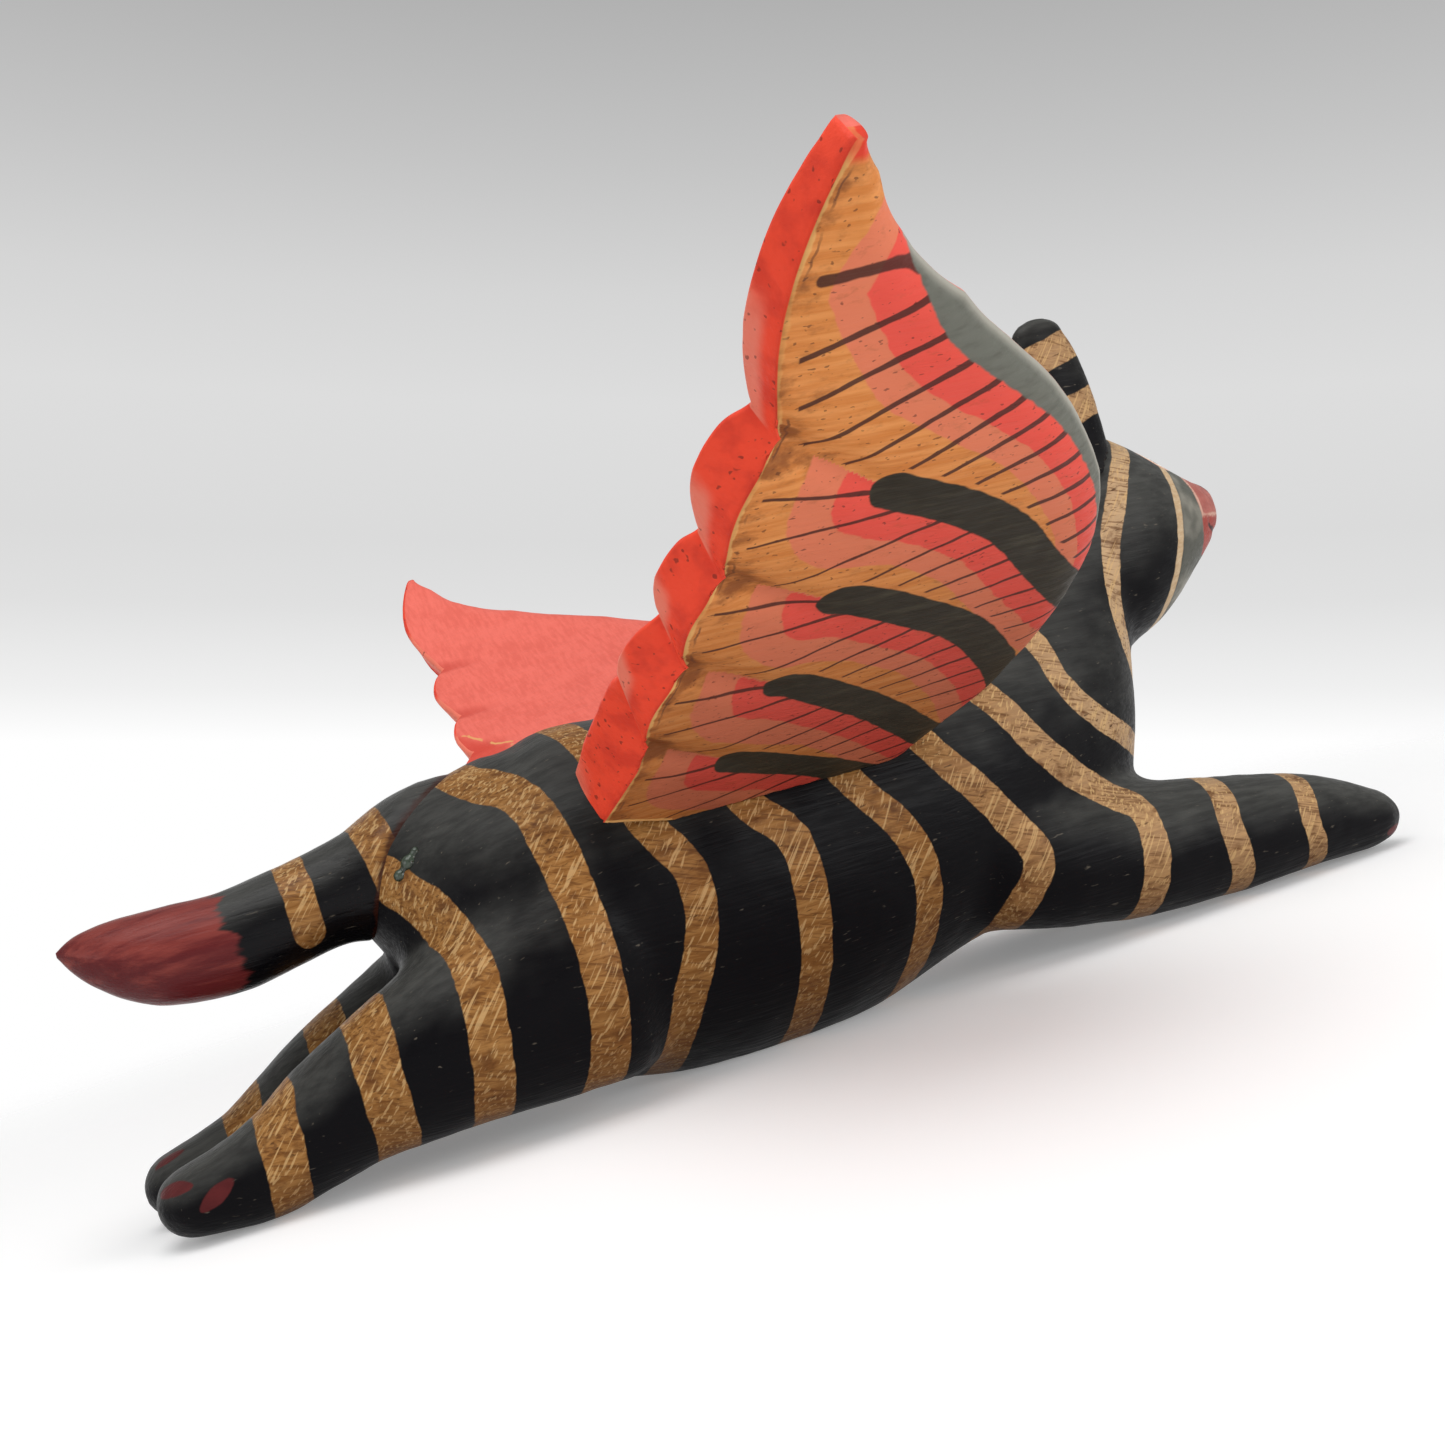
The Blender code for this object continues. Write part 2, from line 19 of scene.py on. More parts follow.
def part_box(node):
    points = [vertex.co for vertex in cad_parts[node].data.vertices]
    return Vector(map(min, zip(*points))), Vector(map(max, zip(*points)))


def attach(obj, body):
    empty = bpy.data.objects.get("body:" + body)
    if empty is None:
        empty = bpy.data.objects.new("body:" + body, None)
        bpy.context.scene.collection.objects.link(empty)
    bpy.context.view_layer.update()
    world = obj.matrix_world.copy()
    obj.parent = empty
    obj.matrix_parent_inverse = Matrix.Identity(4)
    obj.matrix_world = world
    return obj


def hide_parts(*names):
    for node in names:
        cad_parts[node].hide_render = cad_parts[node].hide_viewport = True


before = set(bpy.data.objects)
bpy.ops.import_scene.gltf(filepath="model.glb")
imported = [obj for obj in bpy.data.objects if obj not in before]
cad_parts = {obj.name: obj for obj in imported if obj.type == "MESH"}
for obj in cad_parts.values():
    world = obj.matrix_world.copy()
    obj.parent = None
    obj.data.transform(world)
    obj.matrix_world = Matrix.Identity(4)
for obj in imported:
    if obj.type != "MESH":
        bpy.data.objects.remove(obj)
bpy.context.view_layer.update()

# Millimetres in a metre, and a distance in millimetres that is past every painted edge
MM = 1000
FAR = 9.0

# Camera, fitted to the photograph's outline; angles in degrees
PHOTO_SIDE = 1445
FOCAL_PIXELS = 1650
SENSOR = 36.0
CAMERA_AZIMUTH = -20.9
CAMERA_ELEVATION = 0.1
CAMERA_ROLL = -14.7
CAMERA_TARGET = Vector((0.0081, 0, 0.0538))
CAMERA_DISTANCE = 0.300
CAMERA_SHIFT_X = -1 / PHOTO_SIDE
CAMERA_SHIFT_Y = 19 / PHOTO_SIDE
CAMERA_NEAREST = 0.01

# Backdrop: screen grey by the height of the view direction, from below to above
BACKDROP_GREYS = ((0.00, 255), (0.03, 240), (0.08, 224), (0.12, 219), (0.20, 221), (0.26, 213), (0.33, 196),
                  (0.41, 177))
WORLD_LEVEL = 0.48

# Lamps: place, width and power
LAMPS = {
    "top_lamp": ((-0.10, -0.22, 0.75), 0.60, 2.6),
    "front_lamp": ((0.42, -0.60, 0.14), 0.50, 2.4),
    "rear_lamp": ((-0.62, -0.30, 0.30), 0.50, 0.9),
}

# Floor
FLOOR_RADIUS = 0.55
FLOOR_SIDES = 96
FLOOR_FADE = (0.17, 0.36)
FLOOR_GREY = (0.88, 0.88, 0.88, 1.0)
FLOOR_GLOW = 0.20

# Gap between two pieces, as in the solids
CLEARANCE = 0.0003

# Fineness of the eased copies
BODY_VOXEL = 0.0008
BODY_EASE = 18
SMALL_VOXEL = 0.0006
SMALL_EASE = 8
EASE_FACTOR = 0.5

# Wing, with the same named sizes as its solid; angles in degrees
WING_ROOT_Y = 0.0250
WING_ROOT_Z = 0.0480
WING_SPAN = 0.130
WING_SUNK = 0.012
WING_ROOT_THICKNESS = 0.0100
WING_TIP_THICKNESS = 0.0045
WING_CORNER = 0.0009
LEADING_ROUND = 0.0090
ROUND_SHARE = 0.4
CORNER_SHARE = 0.2
WingPose = namedtuple("WingPose", "forward root_rise tip_rise pitch")
WING_POSES = {
    "right": WingPose(forward=0.0, root_rise=21.0, tip_rise=35.0, pitch=0.0),
    "left": WingPose(forward=0.0046, root_rise=12.0, tip_rise=50.0, pitch=10.0),
}
SIDE_SIGNS = {"right": -1, "left": 1}
LEADING_EDGE = (
    (-WING_SUNK, 0.030), (0.004, 0.0345), (0.016, 0.0410), (0.035, 0.0450), (0.054, 0.0440),
    (0.072, 0.0370), (0.090, 0.0228), (0.107, 0.0042), (0.117, -0.0069), (0.125, -0.0117),
    (WING_SPAN, -0.0150),
)

# Rear edge of the upper face and of the underside: notches between the feathers, swell of each feather,
# and how far the fullest place of each feather leans towards the root
Scallops = namedtuple("Scallops", "notches swells leans")
UPPER_REAR = Scallops(
    ((-WING_SUNK, -0.0225), (0.041, -0.0278), (0.056, -0.0247), (0.0725, -0.0222), (0.094, -0.0196),
     (WING_SPAN, -0.0168)),
    (0.0046, 0.0025, 0.0026, 0.0038, 0.0046), (0.66, 0.90, 0.95, 1.15, 1.10))
UNDER_REAR = Scallops(
    ((-WING_SUNK, -0.0306), (0.0286, -0.0239), (0.0486, -0.0216), (0.0675, -0.0198), (0.0912, -0.0172),
     (WING_SPAN, -0.0166)),
    (0.0004, 0.0028, 0.0030, 0.0026, 0.0040), (1.0, 1.0, 1.0, 1.0, 1.0))
NOTCH_STATIONS = [station for station, _ in UPPER_REAR.notches]
FEATHER_FULLNESS = 0.8
Furrow = namedtuple("Furrow", "depth half_width length sweep")
UNDER_FURROW = Furrow(0.0019, 0.0032, 0.024, 0.68)
UPPER_FURROW = Furrow(0.0010, 0.0026, 0.013, 0.35)
FURROW_MOST = 1.3

# One feather is bevelled on its upper face: distance along the wing, then forward place
BEVEL_LINE = ((0.040, -0.0320), (0.0445, -0.0190), (0.0506, -0.0165), (0.0561, -0.0208), (0.0616, -0.0237),
              (0.066, -0.0300))
BEVEL_SLOPE = 0.16
BEVEL_REACH = 0.0075

# The root's rear corner is cut off: forward place, then distance along the wing
ROOT_CORNER = ((-0.028, 0.0080), (-0.022, 0.0050), (-0.0145, 0.0008), (-0.012, -WING_SUNK))

# Fineness of the wings, and the part of the root that is fitted to the flank
WING_STEP = 0.00045
LEADING_STEPS = 40
UNDER_COLUMNS = 130
UPPER_COLUMNS = 45
NOSE_COLUMNS = 16
REAR_COLUMNS = 8
CORNER_COLUMNS = (0.33, 0.67)
ROOT_BLEND = 0.026
ROOT_STEP = 0.00025
EDGE_MARKS = {"rear": -1.0, "low_corner": -0.5, "high_corner": -0.5}

# Painted wing pattern, in millimetres: forward place, then distance along the wing
WING_BARS = (
    ((1, 79.0), (5, 77), (13, 73), (23.5, 65.5), (32, 56), (42, 45), (52, 34)),
    ((-1, 57.8), (4, 56), (14.4, 49.6), (25, 42), (36, 28.6), (42, 18), (50, 4)),
    ((-4.5, 38.5), (0.5, 35.8), (12.5, 26.3), (23, 16), (32, 6), (42, -6)),
    ((-7.5, 17.3), (0.6, 12.9), (14, 4), (26, -6)),
)
BAR_HALF_WIDTH = 3.1
BAR_RUN_ON = (-10, 6.8)
BAND_EDGE = ((-7, 117), (-4.5, 112.5), (1, 104), (6, 99), (16, 91.4), (24.4, 84.4), (32.5, 75), (38, 66.5),
             (43, 56), (46, 44), (49, 30))
HATCH_SPACING = 6.5
HATCH_FIRST = 2.0
BAND_HATCH_FIRST = 4.2
HATCH_SLOPES = (-0.20, 0.05, 0.33, 0.42, 0.38, 0.30, 0.22, 0.15, 0.06)
BAND_HATCH_SLOPES = (0.35, 0.41, 0.52, 0.57, 0.62, 0.54, 0.47, 0.36, 0.30)
HATCH_LENGTHS = (34, 17)
HATCH_HALF_WIDTHS = (0.38, 0.17)
BAND_HATCH_HALF_WIDTHS = (0.58, 0.20)
HATCH_BAR_GAP = 4.6
HATCH_REAR_GAP = 3.6
TIP_LINE = ((-17.0, 114.0), (-7.7, 114.6), (-4.0, 112.8))
TIP_LINE_HALF_WIDTH = 0.75
TIP_FADE = (111.5, 119.0)
TIP_RED = (127.0, 128.6)

# Depth of the red zone and of the coral zone behind the leading band and behind a bar: two forward places,
# then the depths there; millimetres
Zones = namedtuple("Zones", "places red coral")
BAND_ZONES = Zones((-5, 33), (6.2, 3.9), (10.4, 7.4))
BAR_ZONES = Zones((-5, 5), (8.3, 7.9), (14.4, 12.0))

# Bare-wood stripes of the body, in millimetres: half a width, then places seen from the side
Stripe = namedtuple("Stripe", "half_width line")
BODY_STRIPES = (
    Stripe(3.1, ((-84, 20), (-84.7, 15.6), (-84.9, 9), (-85.2, -2))),
    Stripe(3.3, ((-67.8, 33), (-68.1, 27.6), (-68.9, 18.3), (-68.1, 6.4), (-67.8, -2))),
    Stripe(3.2, ((-58.5, 47), (-57, 44), (-53.8, 39.8), (-51.4, 31.1), (-52.2, 18.9), (-53.2, 7.1),
                 (-53.4, -2))),
    Stripe(3.4, ((-45, 63), (-41, 58), (-35.3, 53), (-33.2, 38.9), (-32.8, 25.9), (-33.4, 14.7), (-35.4, 3),
                 (-36, -2))),
    Stripe(2.9, ((-23.5, 66), (-21, 55), (-18.5, 44), (-14.2, 35.3), (-14.5, 25.4), (-18.3, 14.6),
                 (-20.6, 6.3), (-21.5, -2))),
    Stripe(3.0, ((-7, 66), (-4, 52), (-0.8, 42.5), (4.8, 35.2), (5.2, 19.8), (2.6, -2))),
    Stripe(2.8, ((12, 66), (14, 52), (18.6, 41.1), (25.1, 31.5), (28.1, 20.2), (25.5, 4), (24.5, -2))),
    Stripe(2.9, ((28, 67), (31, 52), (35.8, 42.2), (43.4, 32.1), (50.3, 20.3), (44.9, 10), (43, -2))),
    Stripe(2.9, ((43, 72), (47, 56), (51.9, 46.6), (58.9, 36.6), (70.1, 26.4), (74.4, 21.4), (72.1, 5.1),
                 (71, -2))),
    Stripe(2.3, ((57, 78), (62, 64), (65.2, 55.2), (66.3, 49.1), (71.3, 42.3), (80.3, 35.8), (90, 31))),
    Stripe(2.0, ((105, 96), (100.3, 89.6), (95, 83.5), (88.6, 72), (86.2, 59.9), (88.2, 50.1), (93, 43))),
    Stripe(2.7, ((94.6, 27), (94, 22.8), (91.5, 14.4), (93.5, 4.2), (94, -2))),
    Stripe(2.2, ((113.4, 24), (112.9, 18.8), (110.3, 11.3), (112.3, 3.2), (113, -2))),
)
CREAM_STRIPES = (
    Stripe(0.95, ((111.5, 90), (109.2, 83.6), (106.3, 71), (102.8, 60), (100, 50))),
)
LEFT_LEG_X = (-62, -50)
LEFT_LEG_SHIFT = 3.4
LEFT_LEG_BLEND = 2.0
TAIL_STRIPES = (
    Stripe(2.5, ((-72.4, 60), (-71.8, 41))),
    Stripe(3.0, ((-59.5, 62), (-57, 44), (-56.5, 36))),
)
EAR_STRIPES = (
    Stripe(2.9, ((70, 105.0), (105, 114.4))),
    Stripe(2.8, ((70, 93.0), (105, 102.4))),
)
TAIL_RED_END = -84.0

# Tail from its root inside the rump to its pointed tip: place, half width, rise and drop
TAIL = (
    (-0.036, 0.0492, 0.0080, 0.0090, 0.0080), (-0.050, 0.0491, 0.0083, 0.0094, 0.0084),
    (-0.063, 0.0466, 0.0082, 0.0082, 0.0083), (-0.081, 0.0430, 0.0084, 0.0083, 0.0084),
    (-0.094, 0.0433, 0.0079, 0.0078, 0.0080), (-0.1008, 0.0450, 0.0060, 0.0060, 0.0067),
    (-0.1060, 0.0468, 0.0034, 0.0034, 0.0041), (-0.1092, 0.0480, 0.0004, 0.0004, 0.0005),
)
TAIL_RIDGE = 0.45
TAIL_RIDGE_X = (-0.080, -0.104)
TAIL_SIDES = 72
TAIL_STEPS = 24

# Short segments between two given places of a painted line
LINE_STEPS = 4

# How near two joined pieces start to run together, and how far from the joint is measured
FILLET_REACH = 0.007
JOINT_REACH = 0.02

# Small rise of the rump ahead of the tail: place along X, reach and height
RUMP_X = -0.032
RUMP_REACH = 0.014
RUMP_RISE = 0.0016

# Painted face and claws, in millimetres, on the animal's left; the right side is mirrored
SNOUT_X = 114.5
SNOUT_LEAN = 0.04
SNOUT_HEIGHTS = (65.6, 83.0)
LIP_HEIGHT = 73.0
LIP_INNER = 5.5
PALE_HALF_WIDTH = 0.35
PALE_INSET = 0.3
MUZZLE_LOWEST = 47.0
MUZZLE_BACK = 112.0
NOSE_PAD = ((72.6, 0.6), (74.0, 2.6), (76.0, 4.2), (78.0, 5.2), (79.5, 5.0), (80.8, 3.2))
NOSTRIL = (2.5, 76.2)
NOSTRIL_HALF_SIZES = (1.2, 0.75)
MOUTH = ((0, 70.6), (3.5, 69.6), (7.5, 70.6), (9.0, 71.6))
MOUTH_HALF_WIDTH = 0.4
EYE = (109.6, 7.6, 86.8)
EYE_SLOPE = (0.857, -0.514)
EYE_HALF_LENGTH = 4.8
EYE_HALF_HEIGHT = 2.1
EYE_RIM_WIDTH = 0.8
IRIS_RADIUS = 1.45
CLAWS = (
    ((-98.2, 17.6, 5.8), (-92.8, 18.3, 9.2)),
    ((-98.6, 16.0, 9.7), (-103.4, 11.8, 9.4)),
    ((-98.2, 6.0, 11.6), (-103.0, 6.8, 10.4)),
    ((130.8, 20.6, 3.4), (135.6, 18.2, 3.4)),
    ((133.0, 9.0, 7.0), (137.0, 12.5, 5.0)),
)
CLAW_RADIUS = 1.5
CLAW_TAPER = 0.75

# Painted light grows towards the head, as if it were lit from the front, between two places along X and up to
# a height; millimetres
FRONT_PAINTED_LIGHT = 0.5
FRONT_X = (30, 85)
FRONT_Z = (12, 45)
FRONT_LOW = 0.45
EAR_FRONT = 0.5

# Depth and size of the knife's facets and nicks
FACET_DEPTH = 0.00022
FACET_SIZE = 0.009
NICK_DEPTH = 0.00007
NICK_SIZE = 0.0028
NICK_SHIFT = 7.3

# Depth of the carved nose and mouth, and how far their edges are eased, in millimetres
NOSE_LIFT = 0.0003
NOSE_SOFT = 2.4
NOSTRIL_DEPTH = 0.0006
MOUTH_DEPTH = 0.0003
MOUTH_SPREAD = 0.7

# Bead of glue beside the tail's root: place, put down on the rump, and radius of each drop
GLUE_DROPS = (
    ((-0.0545, -0.0122, 0.0478), 0.0014),
    ((-0.0560, -0.0114, 0.0460), 0.0011),
    ((-0.0530, -0.0123, 0.0492), 0.0009),
)
GLUE_SUNK = 0.3
GLUE_FINENESS = 3
GLUE_VOXEL = 0.0003
GLUE_EASE = 6

# Wing peg holes of the body, and the plugs that fill them while the body is eased
PEG_HOLE_RADIUS = 0.0028
PEG_HOLE_DEPTH = 0.0133
PEG_HOLE_SIDES = 32
PLUG_RADIUS = 0.0042
PLUG_COVER = 0.0012
PLUG_SIDES = 24

# Sizes of the wood's grain and of a brush's marks along X, Y and Z, in millimetres
WOOD_GRAIN = (12, 0.8, 0.8)
BRUSH_MARKS = (12, 0.7, 0.7)


def linear(red, green, blue):
    """Turn a screen colour from 0 to 255 into linear light."""
    values = []
    for value in (red, green, blue):
        part = value / 255
        values.append(part / 12.92 if part <= 0.04045 else ((part + 0.055) / 1.055) ** 2.4)
    return (*values, 1.0)


# Colours
BLACK = linear(8, 7, 10)
# painted sheen of the black paint where it faces up and towards the head
BLACK_PAINTED_SHEEN = linear(74, 74, 71)
# pale scuffs, partly painted glints of the satin paint
BLACK_SCUFF_GLINT = linear(112, 104, 92)
WOOD_PALE = linear(160, 116, 66)
WOOD_MID = linear(128, 85, 42)
WOOD_DARK = linear(88, 52, 26)
WOOD_LINE = linear(56, 32, 18)
WOOD_SCRATCH = linear(204, 168, 116)
# painted light on the bare wood towards the head
WOOD_FRONT_LIGHT = linear(206, 178, 142)
CREAM = linear(214, 196, 166)
# painted sheen on the muzzle
MUZZLE_SHEEN = linear(98, 98, 90)
MUZZLE_SHEEN_PALE = linear(158, 154, 142)
MAROON = linear(128, 57, 51)
MAROON_DARK = linear(92, 30, 32)
CLAW_DARK = linear(70, 26, 28)
CLAW_RED = linear(104, 42, 42)
STAIN = linear(54, 24, 15)
NOSE_DARK = linear(58, 26, 26)
NOSE_RED = linear(138, 72, 66)
NOSE_PINK = linear(192, 118, 106)
LIP_RED = linear(176, 78, 68)
NOSE_PALE = linear(214, 178, 158)
EYE_WHITE = linear(232, 220, 204)
EYE_RIM = linear(222, 172, 150)
RED = linear(232, 84, 70)
CORAL = linear(224, 124, 90)
OCHRE = linear(210, 128, 62)
OCHRE_PALE = linear(228, 150, 84)
OCHRE_DARK = linear(140, 80, 38)
ROOT_SHADE = linear(66, 20, 8)
BAR = linear(42, 36, 26)
BAR_RUBBED = linear(66, 60, 46)
BAND = linear(106, 107, 98)
# pale rim of the leading band: partly wear, partly painted highlight
BAND_WORN_HIGHLIGHT = linear(178, 174, 162)
HATCH = linear(64, 32, 26)
TOP_CORAL = linear(237, 115, 100)
TOP_DEEP = linear(226, 103, 88)
TOP_SHADE = linear(198, 70, 58)
EDGE_RED = linear(244, 76, 50)
EDGE_DEEP = linear(222, 64, 44)
# painted sheen on the rear edge's down-turned facets
EDGE_SHEEN_PINK = linear(238, 132, 110)
WORN = linear(228, 176, 108)
WORN_LINE = linear(96, 56, 40)
PEG_WOOD = linear(196, 152, 104)
GLUE = linear(58, 70, 56)
GLUE_DARK = linear(28, 34, 26)


class Nodes:
    """Builds the nodes of a material or of the world."""

    def __init__(self, owner):
        owner.use_nodes = True
        self.tree = owner.node_tree

    def feed(self, value, socket):
        """Link a socket, or set a plain value."""
        if isinstance(value, bpy.types.NodeSocket):
            self.tree.links.new(value, socket)
        else:
            socket.default_value = value

    def add(self, kind, inputs=None, **settings):
        """Add a node with its settings, and feed its inputs."""
        node = self.tree.nodes.new(kind)
        for key, value in settings.items():
            setattr(node, key, value)
        for key, value in (inputs or {}).items():
            self.feed(value, node.inputs[key])
        return node

    def math(self, operation, first, second=0.0):
        return self.add("ShaderNodeMath", {0: first, 1: second}, operation=operation).outputs[0]

    def ramp(self, value, start, end, low=0.0, high=1.0):
        """Go smoothly from low to high while the value goes from start to end."""
        inputs = {"Value": value, "From Min": start, "From Max": end, "To Min": low, "To Max": high}
        return self.add("ShaderNodeMapRange", inputs, interpolation_type='SMOOTHSTEP').outputs["Result"]

    def seen_directly(self):
        """Return 1 for a ray that the camera, a gloss or a glass sees."""
        rays = self.add("ShaderNodeLightPath").outputs
        seen = self.math('MAXIMUM', rays["Is Camera Ray"], rays["Is Glossy Ray"])
        return self.math('MAXIMUM', seen, rays["Is Transmission Ray"])

    def choose(self, factor, first, second):
        """Go from a first shader to a second one."""
        inputs = {0: factor, 1: first.outputs[0], 2: second.outputs[0]}
        return self.add("ShaderNodeMixShader", inputs).outputs[0]


class Paint(Nodes):
    """Builds one painted material; noise sizes and stored distances are in millimetres."""

    def __init__(self, name):
        self.material = bpy.data.materials.new(name)
        super().__init__(self.material)
        self.shader = self.tree.nodes["Principled BSDF"]
        self.place = self.add("ShaderNodeTexCoord").outputs["Object"]

    def set(self, name, value):
        self.feed(value, self.shader.inputs[name])

    def field(self, name):
        """Read a number that is stored on the mesh."""
        return self.add("ShaderNodeAttribute", attribute_name=name).outputs["Fac"]

    def noise(self, sizes, detail=3.0, roughness=0.5, turn=0.0):
        """Return a noise with patches of one size, or of three sizes turned about Y by degrees."""
        turned = self.add("ShaderNodeVectorRotate", {"Vector": self.place, "Angle": math.radians(turn)},
                          rotation_type='Y_AXIS')
        scales = [MM / size for size in np.broadcast_to(sizes, 3)]
        spread = self.add("ShaderNodeVectorMath", {0: turned.outputs[0], 1: scales}, operation='MULTIPLY')
        inputs = {"Vector": spread.outputs[0], "Scale": 1.0, "Detail": detail, "Roughness": roughness}
        return self.add("ShaderNodeTexNoise", inputs).outputs["Fac"]

    def wobbled(self, value, sizes, amount):
        """Shift a distance by noise, so that its edge looks drawn by hand."""
        shift = self.math('MULTIPLY', self.math('SUBTRACT', self.noise(sizes), 0.5), 2 * amount)
        return self.math('ADD', value, shift)

    def drawn(self, name, sizes, amount):
        """Read a stored distance and shift it by noise."""
        return self.wobbled(self.field(name), sizes, amount)

    def mix(self, factor, first, second):
        inputs = {"Factor": factor, "A": first, "B": second}
        return self.add("ShaderNodeMix", inputs, data_type='RGBA').outputs["Result"]

    def cover(self, first, second, value, start, end, most=1.0):
        """Lay a second colour over a first one while the value goes from start to end."""
        return self.mix(self.ramp(value, start, end, 0.0, most), first, second)

    def fill(self, first, second, distance, soft, most=1.0):
        """Lay a second colour over a first one where a distance is below zero, with a soft edge."""
        return self.cover(first, second, distance, soft, -soft, most)

    def finish(self, colour, pattern, roughness, gloss, relief, strength):
        """Give the surface its colour, uneven sheen and fine relief."""
        self.set("Base Color", colour)
        self.set("Roughness", self.ramp(pattern, 0.3, 0.7, *roughness))
        self.set("Specular IOR Level", gloss)
        bump = self.add("ShaderNodeBump", {"Strength": strength, "Distance": relief, "Height": pattern})
        self.set("Normal", bump.outputs["Normal"])
        return self.material

    def finish_brushed(self, colour, roughness, gloss):
        """Finish a surface that is painted with a brush."""
        return self.finish(colour, self.noise(BRUSH_MARKS, 3.0, 0.6), roughness, gloss, 0.00025, 0.5)


def bare_wood(paint):
    """Return the colour of bare wood: grain along X, dapples and fine scratches; paler towards the head as
    painted light, and darker where it faces down as painted shade.
    """
    dapple = paint.noise((4.5, 3, 3), 4.0, 0.6)
    fleck = paint.noise((2.6, 0.5, 0.5), 2.0, 0.5, 12)
    down = paint.noise((14, 0.6, 0.45), 1.0, 0.5, 50)
    across = paint.noise((11, 0.6, 0.45), 1.0, 0.5, -20)
    colour = paint.cover(WOOD_MID, WOOD_PALE, paint.noise(WOOD_GRAIN, 4.0, 0.6), 0.36, 0.66)
    # painted light: the wood is paler towards the head
    colour = paint.mix(paint.math('MULTIPLY', paint.field("front"), 0.6), colour, WOOD_FRONT_LIGHT)
    colour = paint.cover(colour, WOOD_DARK, dapple, 0.50, 0.72, 0.8)
    colour = paint.cover(colour, WOOD_DARK, across, 0.52, 0.66, 0.6)
    colour = paint.cover(colour, WOOD_SCRATCH, down, 0.55, 0.66, 0.6)
    # painted shade: the wood is darker where it faces down
    colour = paint.cover(colour, WOOD_DARK, paint.field("sky"), 0.0, -0.8, 0.45)
    return paint.cover(colour, WOOD_LINE, fleck, 0.64, 0.74, 0.7)


def black_paint(paint):
    """Return the colour of black paint: painted sheen where it faces up and towards the head, broken by brush
    marks, and scuffs with painted glints.
    """
    brush = paint.noise((20, 1.4, 1.4), 3.0, 0.6)
    sky = paint.math('ADD', paint.field("sky"), paint.math('MULTIPLY', paint.field("front"), FRONT_PAINTED_LIGHT))
    # painted sheen: the black turns grey where it faces up and towards the head, as light falls there
    painted_sheen = paint.ramp(paint.wobbled(sky, 12, 0.35), 0.10, 0.95)
    painted_sheen = paint.math('MULTIPLY', painted_sheen, paint.ramp(brush, 0.25, 0.75, 0.55, 1.0))
    colour = paint.mix(painted_sheen, BLACK, BLACK_PAINTED_SHEEN)
    # pale scuffs, partly painted glints of the satin paint
    return paint.cover(colour, BLACK_SCUFF_GLINT, paint.noise((3, 0.4, 0.7), 2.0), 0.68, 0.80, 0.55)


def striped(paint, edge):
    """Return the colour of black paint with bare-wood stripes."""
    return paint.fill(black_paint(paint), bare_wood(paint), edge, 0.14)


def face_colour(paint, colour, shade):
    """Lay the painted snout, nose, mouth and eyes over a colour."""
    colour = paint.fill(colour, paint.mix(shade, NOSE_RED, NOSE_PINK), paint.drawn("snout", 3, 0.5), 0.2)
    colour = paint.fill(colour, paint.mix(shade, LIP_RED, MAROON), paint.field("lip"), 0.2)
    colour = paint.fill(colour, NOSE_PALE, paint.drawn("pale", 3, 0.3), 0.25, 0.7)
    pad = paint.mix(shade, NOSE_DARK, MAROON_DARK)
    colour = paint.fill(colour, pad, paint.drawn("nose", 3, 0.4), 0.3, 0.9)
    colour = paint.fill(colour, BLACK, paint.field("nostril"), 0.25)
    mouth = paint.math('SUBTRACT', paint.math('ABSOLUTE', paint.field("mouth")), MOUTH_HALF_WIDTH)
    colour = paint.fill(colour, NOSE_DARK, mouth, 0.2)
    colour = paint.fill(colour, EYE_RIM, paint.field("eye_rim"), 0.2)
    colour = paint.fill(colour, EYE_WHITE, paint.field("eye"), 0.15)
    return paint.fill(colour, BLACK, paint.field("iris"), 0.15)


def body_material():
    """Black paint with bare-wood stripes, a painted grey sheen on the muzzle, a stained tail joint, painted
    claws and face.
    """
    paint = Paint("painted_body")
    colour = striped(paint, paint.wobbled(paint.drawn("stripe", 5, 0.45), 1.2, 0.18))
    # painted sheen: a grey wash over the black between the pale face line and the nose
    muzzle_sheen = paint.cover(MUZZLE_SHEEN, MUZZLE_SHEEN_PALE, paint.noise((9, 5, 9)), 0.40, 0.70)
    colour = paint.cover(colour, muzzle_sheen, paint.field("muzzle"), 0.5, -2.0, 0.75)
    cream = paint.mix(paint.noise(WOOD_GRAIN, 4.0, 0.6), WOOD_PALE, CREAM)
    colour = paint.fill(colour, cream, paint.drawn("cream", 3, 0.4), 0.2)
    colour = paint.cover(colour, STAIN, paint.drawn("joint", 3, 0.6), 0.9, 0.2, 0.85)
    shade = paint.noise((4, 2, 2))
    colour = paint.fill(colour, paint.mix(shade, CLAW_DARK, CLAW_RED), paint.drawn("claw", 2, 0.2), 0.2, 0.9)
    return paint.finish_brushed(face_colour(paint, colour, shade), (0.32, 0.50), 0.07)


